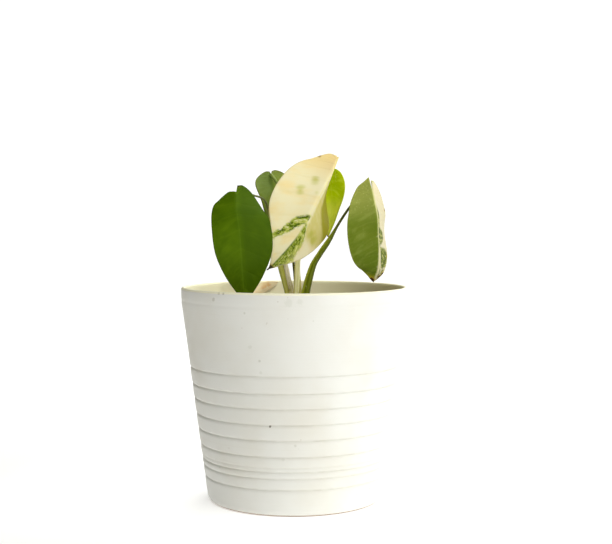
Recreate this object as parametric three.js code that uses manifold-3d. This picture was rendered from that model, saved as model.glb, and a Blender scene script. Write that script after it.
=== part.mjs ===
// Young albo variegated monstera in a ribbed ceramic pot: five hanging leaves on stalks from one crown.
// Millimetres, +Z up. The origin is the middle of the pot's foot, on the surface that it stands on.
// Left, right, front and back are as seen from -Y, the side that the plant shows best.

import * as THREE from "three";
import { mergeVertices } from "three/addons/utils/BufferGeometryUtils.js";
import Module from "manifold-3d";

const wasm = await Module();
wasm.setup();

// Driving sizes
const SEAT_GAP = 0.3;
// The most that a fold moves the upper face out is the thickness over this.
const LEAST_MITRE = 0.5;
const POT = {
  rimRadius: 70,
  footRadius: 53.7,
  height: 131.6,
  collarHeight: 8,
  wall: 2.6,
  floorTop: 5.5,
  floorCorner: 5,
  footEdge: 2.4,
  footRingWidth: 7,
  footRecess: 1.5,
  segments: 48,
};
// Each turned groove round the lower wall: the height of its middle and its depth. It reaches a short
// way above its crease and further below.
const GROOVE = { above: 0.7, below: 1.4, crease: 0.25 };
const GROOVES = [
  [83.1, 0.65],
  [73.0, 0.65],
  [64.0, 0.65],
  [54.6, 0.7],
  [45.4, 0.7],
  [35.6, 0.7],
  [29.3, 0.3],
  [26.7, 0.6],
  [22.7, 0.6],
  [15.9, 0.65],
];
const SOIL = {
  level: 111,
  rings: 13,
  segments: 48,
  chunks: 170,
  chunkRadius: [3.5, 8],
  chunkHeight: [1.1, 3.2],
  edgeBand: 5,
  seed: 7,
};
const CROWN = { x: 1.6, y: 3.2, radius: 8.8, bottom: 97, top: 117.5, segments: 20 };
const BLADE = { thickness: 0.7, rows: 17, columns: 5, veinSweep: 1.25 };
const STALK = { sides: 8, steps: 22 };

// One leaf's flat outline, as shares of its length and half width, from the notch at the leafstalk to
// the tip. The third value is where the side vein that ends there leaves the midrib. A shoulder under 1
// narrows the half by the leafstalk, pointed, from 0 to 1, draws its lobe out to a point, and drip is what
// the half loses just before its tip.
function outlineOf(lobe, fullness, shoulder, pointed, drip) {
  const lack = 1 - shoulder;
  return curveThrough([
    [-lobe * (0.9 + 0.1 * pointed), 0.06 * shoulder ** 2, 0],
    [0.06 * pointed - lobe, 0.28 * shoulder, 0.012],
    [0.06 + 0.06 * pointed - lobe, 0.61 * (1 - 0.75 * lack), 0.04],
    [0.12, 0.87 * (1 - 0.35 * lack), 0.09],
    [0.31, 1 - 0.05 * lack, 0.2],
    [0.53, 0.96 + fullness * 0.2, 0.37],
    [0.74, 0.65 + fullness * 0.8, 0.57],
    [0.89, 0.27 + fullness, 0.78],
    [0.965, 0.085 + fullness * 0.4 - drip, 0.92],
    [1, 0, 1],
  ]);
}

// Each leaf. The midrib runs from the leafstalk to the tip. facing is the bearing of the upper face in
// degrees, 0 to the front, at the base and at the tip. The other lists hold the left and the right half,
// as seen on the upper face: the half width; how far the half folds up from flat, evenly spaced from the
// base to the tip; how far it bends further by its margin; how far its lobe reaches back past the notch,
// as a share of the length; and how full it is by the tip. A negative angle is towards the underside. The
// margin's wave has a height and a count along the leaf. A leafstalk's radii are evenly spaced along it.
const LEAVES = [
  {
    name: "left",
    midrib: [
      [-35, -24, 189.6],
      [-34.2, -30, 177.5],
      [-32.8, -32, 166.4],
      [-31.6, -33, 152],
      [-30.9, -32, 140.3],
      [-29.6, -29, 121],
    ],
    facing: [6, 0],
    half: [16, 20],
    fold: [[-18, 2, -24], [-21, -8, -18]],
    curl: [-7, -13],
    lobe: [0.006, 0.068],
    fullness: [-0.03, -0.005],
    shoulder: [1.1, 0.86],
    wave: { height: 0.5, count: 2.2, phase: 0.4 },
    colour: 0x466a08,
    stalk: {
      route: [[-1.9, -0.9, 113.5], [-3.7, -1, 127.5], [-8.4, 0, 144.9], [-13, 0, 164], [-16.4, 0, 179]],
      reach: [[-19, -6, 185.4], [-26, -15, 188]],
      seat: [-34.1, -22.2, 189],
      radii: [2.4, 2.4, 2.35, 1.9, 0.9, 0.65, 0.65, 0.9],
      colour: 0x8e9a45,
    },
  },
  {
    name: "back_left",
    midrib: [
      [-15, 22, 202],
      [-14, 20, 194.8],
      [-13, 19, 186.6],
      [-12.1, 20, 179],
      [-9, 23, 165],
    ],
    facing: [180, 190],
    half: [12, 12.5],
    fold: [[-4, -10, -5], [2, -42, -14]],
    curl: [-10, -18],
    lobe: [0.05, 0.05],
    fullness: [-0.02, -0.02],
    wave: { height: 0.35, count: 1.8, phase: 2 },
    colour: 0x6f8a3a,
    stalk: {
      route: [[-1.4, 7.6, 113.5], [0.4, 7.8, 130], [-0.6, 6.6, 145], [-3, 9, 165], [-7.2, 13.4, 184]],
      reach: [[-11, 16.6, 195.6], [-14, 18.6, 200.4]],
      seat: [-15, 20.8, 201.4],
      radii: [1.5, 1.0, 0.85, 0.8, 0.75, 0.75, 0.75, 0.9],
      colour: 0x5c6b2c,
    },
  },
  {
    name: "centre",
    midrib: [
      [26.7, -4, 210.8],
      [22.3, -8, 200.3],
      [16.7, -12, 189.8],
      [10.6, -15, 178.9],
      [1.5, -18, 162.6],
      [-11.2, -21, 147.6],
      [-16.9, -22, 142.5],
    ],
    facing: [-2, -14.5],
    half: [27.2, 22.8],
    fold: [[-24, -7, 0], [-99, -82, -54, -44, -14]],
    curl: [4, -2],
    lobe: [0.015, 0.02],
    fullness: [-0.07, -0.07],
    shoulder: [0.9, 1],
    drip: 0.02,
    wave: { height: 0.6, count: 1.6, phase: 1 },
    colour: 0xebe1b4,
    stalk: {
      route: [[0.8, 4.6, 113.5], [1.1, 3.2, 127.5], [2, 1.2, 147], [3.4, 2.6, 163.4], [8, 3.4, 182]],
      reach: [[13.6, 2, 196], [20, -0.6, 205.4]],
      seat: [24.2, -2.7, 208.7],
      radii: [1.7, 1.6, 1.65, 1.7, 1.4, 1.2, 1.1, 1.1],
      colour: 0xd9d79a,
    },
  },
  {
    name: "back_right",
    midrib: [
      [21.5, 20, 201.5],
      [23.5, 22, 192],
      [24, 23, 182],
      [23, 22, 172.6],
      [21, 20, 161.8],
    ],
    facing: [167, 146],
    half: [13, 12],
    fold: [[-11, -36, -38], [-8, -6, -5]],
    curl: [-20, -10],
    lobe: [0.09, 0.09],
    fullness: [-0.02, -0.02],
    wave: { height: 0.35, count: 1.7, phase: 0 },
    colour: 0x9bab12,
    stalk: {
      route: [[5, 7, 113.5], [3.7, 7.6, 128], [2.6, 8.4, 139], [3, 9.6, 150], [6, 12, 166]],
      reach: [[11, 14.6, 182], [17, 16.6, 196.4]],
      seat: [21.2, 18.8, 201.2],
      radii: [1.7, 1.2, 1.0, 0.95, 0.9, 0.85, 0.85, 1.0],
      colour: 0xb4bd55,
    },
  },
  {
    name: "right",
    midrib: [
      [47.6, -6, 191.5],
      [48.8, -9.5, 184.5],
      [50.5, -12, 175],
      [51, -12, 163.7],
      [51.6, -11, 152],
      [50.8, -9, 142],
      [48, -7, 134.9],
    ],
    facing: [0, 7],
    half: [18.8, 19.2],
    fold: [[-8, 6, 10], [-66, -73, -52]],
    curl: [4, 1],
    lobe: [0.15, 0.12],
    fullness: [0.32, 0.22],
    shoulder: [0.74, 0.8],
    pointed: [0.7, 0],
    wave: { height: 0.5, count: 2, phase: 3 },
    colour: 0x84953f,
    stalk: {
      route: [[5.3, -0.3, 113.5], [6.8, -0.6, 127.5], [11.1, 0, 143.6], [15.9, 1, 152], [21.2, 2, 159.8]],
      reach: [[28.2, 4, 171.6], [35, 5, 181.4], [42.2, 2.4, 189]],
      seat: [46.9, -5.15, 190.4],
      radii: [2.6, 2.65, 2.4, 1.8, 1.7, 0.85, 0.8, 0.8, 1.0],
      colour: 0x60762a,
    },
  },
];
// The sheath wraps the left leafstalk between two bearings, in degrees from +X towards the front. It
// narrows and flares towards its top. Its slot in the crown is wider by a small turn at each edge.
const OLD_SHEATH = {
  bottom: 114,
  top: 148,
  rows: 12,
  columns: 6,
  thickness: 0.7,
  bearings: [-30, 92],
  flare: 1.5,
  narrowing: 0.6,
  slotTurn: 9,
  colour: 0xb8a98c,
};
const DRIED_LEAF = {
  midrib: [
    [-37.2, 44.2, 108.4],
    [-31.4, 54.2, 118.8],
    [-22.8, 61.1, 126.3],
    [-11.1, 65.6, 130.8],
  ],
  facing: [34, 10],
  half: [4, 3.6],
  fold: [[-14, -10, -6], [-14, -12, -6]],
  curl: [-18, -18],
  lobe: [0.02, 0.02],
  fullness: [0.3, 0.3],
  wave: { height: 0.3, count: 2, phase: 0.5 },
  grid: { rows: 9, columns: 3 },
  colour: 0xc99a63,
};

// Solids and booleans
function solidFrom(positions, triangles) {
  const geometry = new THREE.BufferGeometry();
  geometry.setAttribute("position", new THREE.Float32BufferAttribute(positions, 3));
  geometry.setIndex(triangles);
  return geometry;
}

function manifoldOf(geometry) {
  const bare = geometry.clone();
  bare.deleteAttribute("normal");
  bare.deleteAttribute("uv");
  const merged = mergeVertices(bare, 1e-4);
  const mesh = new wasm.Mesh({
    numProp: 3,
    vertProperties: new Float32Array(merged.attributes.position.array),
    triVerts: new Uint32Array(merged.index.array),
  });
  mesh.merge();
  return new wasm.Manifold(mesh);
}

function geometryOf(manifold) {
  const mesh = manifold.getMesh();
  return solidFrom(Array.from(mesh.vertProperties), Array.from(mesh.triVerts));
}

// The same pattern of random draws each time the model is made.
function drawsFrom(seed) {
  let state = seed;
  return () => {
    state = (state * 1664525 + 1013904223) % 4294967296;
    return state / 4294967296;
  };
}

// A wavy or folded sheet given a thickness, split into triangles alike on both faces. The sheet is the
// underside, and the upper face stands out from it, further where a fold would thin it.
function thickened(points, triangles, thickness, below = 0) {
  const normals = points.map(() => new THREE.Vector3());
  const facets = points.map(() => []);
  const edgeUses = new Map();
  for (const [a, b, c] of triangles) {
    const along = new THREE.Vector3().subVectors(points[b], points[a]);
    const across = new THREE.Vector3().subVectors(points[c], points[a]);
    const normal = along.cross(across);
    const facing = normal.clone().normalize();
    for (const corner of [a, b, c]) {
      normals[corner].add(normal);
      facets[corner].push(facing);
    }
    for (const [from, to] of [[a, b], [b, c], [c, a]]) {
      const key = `${Math.min(from, to)} ${Math.max(from, to)}`;
      edgeUses.set(key, edgeUses.has(key) ? null : [from, to]);
    }
  }
  const positions = [];
  for (const rise of [thickness, -below]) {
    points.forEach((point, at) => {
      const normal = normals[at].normalize();
      const flattest = Math.min(...facets[at].map((facing) => facing.dot(normal)));
      const moved = point.clone().addScaledVector(normal, rise / Math.max(flattest, LEAST_MITRE));
      positions.push(moved.x, moved.y, moved.z);
    });
  }
  const under = points.length;
  const faces = [];
  for (const [a, b, c] of triangles) faces.push(a, b, c, under + a, under + c, under + b);
  for (const edge of edgeUses.values()) {
    if (!edge) continue;
    const [from, to] = edge;
    faces.push(to, from, under + from, to, under + from, under + to);
  }
  return solidFrom(positions, faces);
}

// A round bar along a curve, with its own radius at each step and flat ends.
function roundBar(curve, radiusAt, swell) {
  const { steps, sides } = STALK;
  const frames = curve.computeFrenetFrames(steps, false);
  const positions = [];
  for (let step = 0; step <= steps; step += 1) {
    const share = step / steps;
    const centre = curve.getPointAt(share);
    if (step === 0) centre.addScaledVector(frames.tangents[0], -swell);
    const radius = radiusAt(share) + swell;
    for (let side = 0; side < sides; side += 1) {
      const turn = (2 * Math.PI * side) / sides;
      const point = centre.clone();
      point.addScaledVector(frames.normals[step], radius * Math.cos(turn));
      point.addScaledVector(frames.binormals[step], radius * Math.sin(turn));
      positions.push(point.x, point.y, point.z);
    }
  }
  const faces = [];
  for (let step = 0; step < steps; step += 1) {
    for (let side = 0; side < sides; side += 1) {
      const a = step * sides + side;
      const b = step * sides + ((side + 1) % sides);
      faces.push(a, b, b + sides, a, b + sides, a + sides);
    }
  }
  const last = steps * sides;
  for (let side = 1; side < sides - 1; side += 1) {
    faces.push(0, side + 1, side, last, last + side, last + side + 1);
  }
  return solidFrom(positions, faces);
}

function curveThrough(points) {
  const vectors = points.map((point) => new THREE.Vector3(...point));
  return new THREE.CatmullRomCurve3(vectors, false, "catmullrom", 0.5);
}

function valueAlong(values, share) {
  const place = THREE.MathUtils.clamp(share, 0, 1) * (values.length - 1);
  const before = Math.min(Math.floor(place), values.length - 2);
  return THREE.MathUtils.lerp(values[before], values[before + 1], place - before);
}

function smoothAlong(values, share) {
  const curve = curveThrough(values.map((value) => [value, 0, 0]));
  return curve.getPoint(THREE.MathUtils.clamp(share, 0, 1)).x;
}

// Pot
function potRadius(height) {
  const shoulder = POT.height - POT.collarHeight;
  const slope = (POT.rimRadius - POT.footRadius) / shoulder;
  return height > shoulder ? POT.rimRadius : POT.rimRadius - (shoulder - height) * slope;
}

function potBoreRadius(height) {
  const above = height - POT.floorTop;
  const wallInside = potRadius(height) - POT.wall;
  if (above >= POT.floorCorner) return wallInside;
  const drop = POT.floorCorner - above;
  return wallInside - POT.floorCorner + Math.sqrt(POT.floorCorner ** 2 - drop ** 2);
}

function potProfile() {
  const ringInside = POT.footRadius - POT.footEdge - POT.footRingWidth;
  const profile = [
    [0, POT.footRecess],
    [ringInside, POT.footRecess],
    [ringInside + POT.footRecess, 0],
    [POT.footRadius - POT.footEdge, 0],
    [POT.footRadius - POT.footEdge * 0.35, POT.footEdge * 0.3],
    [potRadius(POT.footEdge), POT.footEdge],
  ];
  for (const [middle, depth] of [...GROOVES].reverse()) {
    const crease = middle + GROOVE.crease;
    profile.push([potRadius(middle - GROOVE.below), middle - GROOVE.below]);
    profile.push([potRadius(crease) - depth, crease]);
    profile.push([potRadius(middle + GROOVE.above), middle + GROOVE.above]);
  }
  profile.push([POT.rimRadius, POT.height - POT.collarHeight]);
  const lip = POT.wall / 2;
  for (let step = 0; step <= 4; step += 1) {
    const turn = (Math.PI * step) / 4;
    profile.push([POT.rimRadius - lip + lip * Math.cos(turn), POT.height - lip + lip * Math.sin(turn)]);
  }
  profile.push([POT.rimRadius - POT.wall, POT.height - POT.collarHeight]);
  for (const share of [1, 0.5, 0.15, 0]) {
    const height = POT.floorTop + POT.floorCorner * share;
    profile.push([potBoreRadius(height), height]);
  }
  profile.push([0, POT.floorTop]);
  return profile;
}

function turned(profile, segments) {
  const points = profile.map(([radius, height]) => new THREE.Vector2(radius, height));
  return new THREE.LatheGeometry(points, segments).rotateX(Math.PI / 2);
}

// Soil: it fills the pot to its level, with bark chunks standing proud of the surface.
function soilRelief() {
  const draw = drawsFrom(SOIL.seed);
  const { lerp } = THREE.MathUtils;
  const reach = potBoreRadius(SOIL.level) - SOIL.edgeBand;
  const chunks = [];
  for (let index = 0; index < SOIL.chunks; index += 1) {
    const radius = reach * Math.sqrt(draw());
    const turn = 2 * Math.PI * draw();
    const size = lerp(...SOIL.chunkRadius, draw());
    const height = lerp(...SOIL.chunkHeight, draw());
    chunks.push({ x: radius * Math.cos(turn), y: radius * Math.sin(turn), size, height });
  }
  return (x, y) => {
    let height = 0;
    for (const chunk of chunks) {
      const away = Math.hypot(x - chunk.x, y - chunk.y) / chunk.size;
      if (away < 1) height = Math.max(height, chunk.height * Math.sqrt(1 - away * away));
    }
    return height;
  };
}

function soilBody() {
  const profile = [[0, POT.floorTop + SEAT_GAP]];
  for (const share of [0, 0.15, 0.5, 1]) {
    const height = POT.floorTop + POT.floorCorner * share;
    profile.push([potBoreRadius(height) - SEAT_GAP * 1.5, height + SEAT_GAP]);
  }
  const edge = potBoreRadius(SOIL.level) - SEAT_GAP;
  for (let ring = 0; ring <= SOIL.rings; ring += 1) {
    profile.push([edge * (1 - ring / SOIL.rings), SOIL.level]);
  }
  const geometry = turned(profile, SOIL.segments);
  const relief = soilRelief();
  const position = geometry.attributes.position;
  for (let index = 0; index < position.count; index += 1) {
    const x = position.getX(index);
    const y = position.getY(index);
    const onTop = position.getZ(index) > SOIL.level - 1 && Math.hypot(x, y) < edge - 1;
    if (onTop) position.setZ(index, SOIL.level + relief(x, y));
  }
  return geometry;
}

// Crown: the short stem that the leafstalks rise from, ringed by old leaf scars.
function crownBody(swell = 0) {
  const { radius, bottom, top, segments } = CROWN;
  const profile = [
    [0, bottom - swell],
    [radius * 0.55 + swell, bottom - swell],
    [radius * 0.8 + swell, bottom + 3],
    [radius * 0.94 + swell, bottom + 9],
    [radius * 0.86 + swell, bottom + 10.5],
    [radius + swell, top - 3.5],
    [radius * 0.84 + swell, top - 1.4],
    [radius * 0.45, top + swell],
    [0, top + swell + 0.5],
  ];
  return turned(profile, segments).translate(CROWN.x, CROWN.y, 0);
}

// Leaf blades
function bladeSurface(leaf) {
  const { shoulder = [1, 1], pointed = [0, 0], drip = 0 } = leaf;
  function halfOutline(half) {
    return outlineOf(leaf.lobe[half], leaf.fullness[half], shoulder[half], pointed[half], drip);
  }
  const outlines = [halfOutline(0), halfOutline(1)];
  const midrib = curveThrough(leaf.midrib);
  const length = midrib.getLength();
  const base = midrib.getPointAt(0);
  const baseRun = midrib.getTangentAt(0);
  function placed(row, share, side) {
    const half = side < 0 ? 0 : 1;
    const edge = outlines[half].getPoint(row);
    const along = edge.z + (edge.x - edge.z) * share ** BLADE.veinSweep;
    const across = Math.max(edge.y, 0) * share * leaf.half[half];
    const on = THREE.MathUtils.clamp(along, 0, 1);
    const rib = along < 0 ? base.clone().addScaledVector(baseRun, along * length) : midrib.getPointAt(on);
    const run = midrib.getTangentAt(on);
    const bearing = THREE.MathUtils.degToRad(valueAlong(leaf.facing, on));
    const up = new THREE.Vector3(Math.sin(bearing), -Math.cos(bearing), 0);
    up.addScaledVector(run, -up.dot(run)).normalize();
    const right = new THREE.Vector3().crossVectors(up, run);
    const fold = THREE.MathUtils.degToRad(smoothAlong(leaf.fold[half], on));
    const bend = THREE.MathUtils.degToRad(leaf.curl[half]) / leaf.half[half];
    const out = (Math.sin(fold + bend * across) - Math.sin(fold)) / bend;
    const rise = (Math.cos(fold) - Math.cos(fold + bend * across)) / bend;
    const { height, count, phase } = leaf.wave;
    const swing = Math.sin(2 * Math.PI * count * row + phase + (side > 0 ? 1.3 : 0));
    const ripple = height * (across / leaf.half[half]) ** 2 * swing;
    return rib.addScaledVector(right, side * out).addScaledVector(up, rise + ripple);
  }
  return placed;
}

function bladeSheet(leaf) {
  const placed = bladeSurface(leaf);
  const { rows, columns } = { ...BLADE, ...leaf.grid };
  const points = [];
  const triangles = [];
  const spots = new Map();
  function spot(row, column, side) {
    const isTip = row === rows;
    const key = isTip ? "tip" : `${row} ${column === 0 ? 0 : side * column}`;
    if (!spots.has(key)) {
      spots.set(key, points.length);
      points.push(placed(row / rows, isTip ? 0 : column / columns, side));
    }
    return spots.get(key);
  }
  for (const side of [-1, 1]) {
    for (let row = 0; row < rows; row += 1) {
      for (let column = 0; column < columns; column += 1) {
        const a = spot(row, column, side);
        const b = spot(row, column + 1, side);
        const c = spot(row + 1, column + 1, side);
        const d = spot(row + 1, column, side);
        const cells = c === d ? [[a, b, c]] : [[a, b, c], [a, c, d]];
        for (const [p, q, r] of cells) triangles.push(side > 0 ? [p, r, q] : [p, q, r]);
      }
    }
  }
  return { points, triangles };
}

function bladeBody(leaf, swell = 0) {
  const { points, triangles } = bladeSheet(leaf);
  return thickened(points, triangles, BLADE.thickness + swell, swell);
}

// The same leaf with its margin moved out by the seat gap, to cut the slot that it stands in.
function widened(leaf) {
  const half = leaf.half.map((width) => width + SEAT_GAP);
  const [base, next] = leaf.midrib.map((point) => new THREE.Vector3(...point));
  const back = base.clone().sub(next).setLength(SEAT_GAP);
  const midrib = [base.add(back).toArray(), ...leaf.midrib.slice(1)];
  return { ...leaf, half, midrib };
}

// Leafstalks: each ends just under its blade, at the notch.
function stalkCurve(leaf) {
  const { route, reach, seat } = leaf.stalk;
  return curveThrough([...route, ...reach, seat]);
}

function stalkBody(leaf, swell = 0) {
  const radiusAt = (share) => valueAlong(leaf.stalk.radii, share);
  return roundBar(stalkCurve(leaf), radiusAt, swell);
}

// Old sheath: the dry, papery wrap of a leaf that is gone, round the right side of the left leafstalk.
function oldSheathBody(swell = 0) {
  const { bottom, top, rows, columns, thickness, bearings, flare, narrowing, slotTurn } = OLD_SHEATH;
  const widening = swell > 0 ? slotTurn : 0;
  const curve = stalkCurve(LEAVES[0]);
  const steps = 200;
  const samples = Array.from({ length: steps + 1 }, (_, step) => curve.getPointAt(step / steps));
  const points = [];
  const triangles = [];
  for (let row = 0; row <= rows; row += 1) {
    const share = row / rows;
    const height = THREE.MathUtils.lerp(bottom - swell, top, share);
    const at = samples.findIndex((sample) => sample.z >= height);
    const radius = valueAlong(LEAVES[0].stalk.radii, at / steps) + SEAT_GAP + flare * share ** 1.5;
    const spread = 1 - narrowing * share ** 2;
    for (let column = 0; column <= columns; column += 1) {
      const aside = 0.5 + (column / columns - 0.5) * spread;
      const bearing = THREE.MathUtils.lerp(bearings[0] - widening, bearings[1] + widening, aside);
      const turn = THREE.MathUtils.degToRad(bearing);
      const offset = new THREE.Vector3(radius * Math.cos(turn), -radius * Math.sin(turn), 0);
      offset.add(samples[at]);
      offset.z = height;
      points.push(offset);
    }
  }
  for (let row = 0; row < rows; row += 1) {
    for (let column = 0; column < columns; column += 1) {
      const a = row * (columns + 1) + column;
      const b = a + 1;
      const c = b + columns + 1;
      const d = a + columns + 1;
      triangles.push([a, c, b], [a, d, c]);
    }
  }
  return thickened(points, triangles, thickness + swell, swell);
}

// Assembly
const plant = new THREE.Group();

function addPiece(name, geometry, colour, roughness) {
  const material = new THREE.MeshStandardMaterial({ color: colour, roughness, metalness: 0 });
  const mesh = new THREE.Mesh(geometry, material);
  mesh.name = name;
  plant.add(mesh);
}

let crown = manifoldOf(crownBody()).subtract(manifoldOf(oldSheathBody(SEAT_GAP)));
for (const leaf of LEAVES) crown = crown.subtract(manifoldOf(stalkBody(leaf, SEAT_GAP)));
let soil = manifoldOf(soilBody());
soil = soil.subtract(manifoldOf(crownBody(SEAT_GAP)));
soil = soil.subtract(manifoldOf(bladeBody(widened(DRIED_LEAF), SEAT_GAP)));

addPiece("pot", turned(potProfile(), POT.segments), 0xe9e6dc, 0.45);
addPiece("soil", geometryOf(soil), 0x3b2a1c, 0.95);
addPiece("crown", geometryOf(crown), 0x8a8f4a, 0.7);
for (const leaf of LEAVES) {
  addPiece(`leafstalk_${leaf.name}`, stalkBody(leaf), leaf.stalk.colour, 0.5);
  addPiece(`blade_${leaf.name}`, bladeBody(leaf), leaf.colour, 0.45);
}
addPiece("old_sheath", oldSheathBody(), OLD_SHEATH.colour, 0.9);
addPiece("dried_leaf", bladeBody(DRIED_LEAF), DRIED_LEAF.colour, 0.85);

export default plant;
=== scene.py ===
"""A potted albo variegated monstera: five leaves on their stalks, a crown, potting mix and a ribbed pot.

The leaves, leafstalks and other grown pieces are laid on the same curves as the solids of the frame.
"""

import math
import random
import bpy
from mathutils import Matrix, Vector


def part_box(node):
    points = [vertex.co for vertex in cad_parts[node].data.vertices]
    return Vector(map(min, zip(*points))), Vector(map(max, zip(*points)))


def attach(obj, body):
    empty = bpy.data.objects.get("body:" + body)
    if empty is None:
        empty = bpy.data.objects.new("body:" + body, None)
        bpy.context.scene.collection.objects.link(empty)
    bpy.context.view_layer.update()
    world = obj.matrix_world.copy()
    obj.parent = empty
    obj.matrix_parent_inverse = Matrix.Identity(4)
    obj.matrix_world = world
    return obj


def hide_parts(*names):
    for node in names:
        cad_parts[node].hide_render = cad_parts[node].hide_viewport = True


bl_info = {
    "name": "Potted variegated monstera",
    "version": (1, 0, 0),
    "blender": (4, 5, 0),
    "location": "3D View > Sidebar > Monstera",
    "description": "Builds the variegated leaves, leafstalks, potting mix and ribbed pot on their frame",
    "category": "Object",
}

import bpy
from bpy.props import FloatProperty, FloatVectorProperty, IntProperty, PointerProperty
from bpy.types import Operator, Panel, PropertyGroup
from mathutils import Vector, noise

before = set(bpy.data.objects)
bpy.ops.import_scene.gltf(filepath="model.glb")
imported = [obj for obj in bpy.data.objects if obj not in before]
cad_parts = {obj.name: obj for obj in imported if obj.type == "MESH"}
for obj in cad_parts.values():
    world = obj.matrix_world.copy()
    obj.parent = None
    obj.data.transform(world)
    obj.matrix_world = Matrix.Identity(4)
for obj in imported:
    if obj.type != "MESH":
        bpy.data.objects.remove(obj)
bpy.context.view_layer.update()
POT_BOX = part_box("pot")

MM = 0.001
BODY = "root"

# Photograph
PHOTO_WIDTH = 612
FOCAL_PIXELS = 1226.86
SENSOR_WIDTH = 36.0
CAMERA_PLACE = (0.0, -0.760, 0.17647)
CAMERA_PITCH = 2.7086
CAMERA_YAW = 0.5334

# Pot, in mm: groove heights and depths from the top one down
POT_FOOT_RADIUS = 53.7
POT_WALL = 2.6
POT_COLLAR = 8.0
POT_CREASE = 123.6
POT_FLOOR = 5.5
POT_FLOOR_CORNER = 5.0
GROOVES = [
    (83.1, 0.65),
    (73.0, 0.65),
    (64.0, 0.65),
    (54.6, 0.7),
    (45.4, 0.7),
    (35.6, 0.7),
    (29.3, 0.3),
    (26.7, 0.6),
    (22.7, 0.6),
    (15.9, 0.65),
]
# Widths of a groove's slope above and below its middle, and of the shade painted in its crease, in mm
GROOVE_ABOVE = 0.34
GROOVE_BELOW = 0.95
GROOVE_CREASE = 0.42
# Heights about a groove's middle where the wall gets a ring, in mm
GROOVE_STEPS = (-2.0, -1.3, -0.8, -0.4, -0.1, 0.1, 0.25, 0.45, 0.75, 1.2, 2.2)
# Marks on the glaze: place, radius, strength and colour
GLAZE_MARKS = [
    ((-47.0, -51.9, 127.1), 1.5, 0.3, (130, 122, 90)),
    ((-43.8, -54.6, 130.7), 1.2, 0.3, (150, 144, 108)),
    ((-41.0, -56.8, 130.8), 1.0, 0.4, (130, 122, 90)),
    ((-28.5, -63.4, 120.1), 1.0, 0.22, (140, 140, 110)),
    ((10.6, -68.1, 116.0), 0.8, 0.15, (150, 150, 120)),
    ((-3.5, -69.9, 126.3), 3.4, 0.12, (160, 168, 140)),
    ((3.0, -69.9, 127.0), 2.4, 0.12, (160, 168, 140)),
    ((-25.5, -61.9, 100.5), 1.6, 0.12, (150, 152, 124)),
    ((-20.1, -62.7, 92.5), 1.1, 0.28, (140, 140, 114)),
    ((-19.3, -62.0, 85.7), 1.2, 0.14, (150, 150, 124)),
    ((-14.0, -58.6, 54.3), 1.0, 0.8, (96, 88, 70)),
    ((0.4, -59.4, 43.1), 1.2, 0.2, (150, 150, 124)),
    ((-6.8, -57.9, 34.8), 1.4, 0.12, (150, 150, 124)),
    ((44.0, 42.0, 88.0), 0.7, 0.7, (100, 80, 56)),
    ((-20.0, 58.0, 70.0), 0.6, 0.7, (100, 80, 56)),
]

# Soil and crown, in mm
SOIL_LEVEL = 111.0
CROWN_CENTRE = (1.6, 3.2)
CROWN_RADIUS = 8.8
# Where the dried leaf stands, and how far chips and grains stay from there
DRIED_FOOT = (-36, 46)
DRIED_CLEAR = 7
# How often a chip or grain is moved when it falls on the crown or on the dried leaf
TRIES = 40
# How fine the unevenness of the crown and of the dried leaf is, in bumps per metre
UNEVENNESS = 260
# Blender draws the offsets of its vector noise from the clock unless it is given a seed other than 0
NOISE_SEED = 7

# Leafstalks: a sheath's channel, its depth as a share of the radius and the rest in radians
CHANNEL_DEPTH = 0.34
CHANNEL_WIDTH = 0.42
CHANNEL_EDGE = 0.62
CHANNEL_EDGE_WIDTH = 0.16

# Old sheath: its foot and height in mm, how far round it goes and where it starts, in degrees
SHEATH_FOOT = 114.0
SHEATH_HEIGHT = 34.0
SHEATH_ROUND = 122
SHEATH_START = -30

# Stage
FLOOR_RADIUS = 6.0
BEAM_ANGLE = 5.2


# Leaves
class LeafForm:
    """One leaf: its midrib, the way it faces, its half widths, folds and outline, in mm and degrees."""

    shoulder = (1, 1)
    pointed = (0, 0)
    drip = 0

    def __init__(self, **shape):
        for key, value in shape.items():
            setattr(self, key, value)


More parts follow.
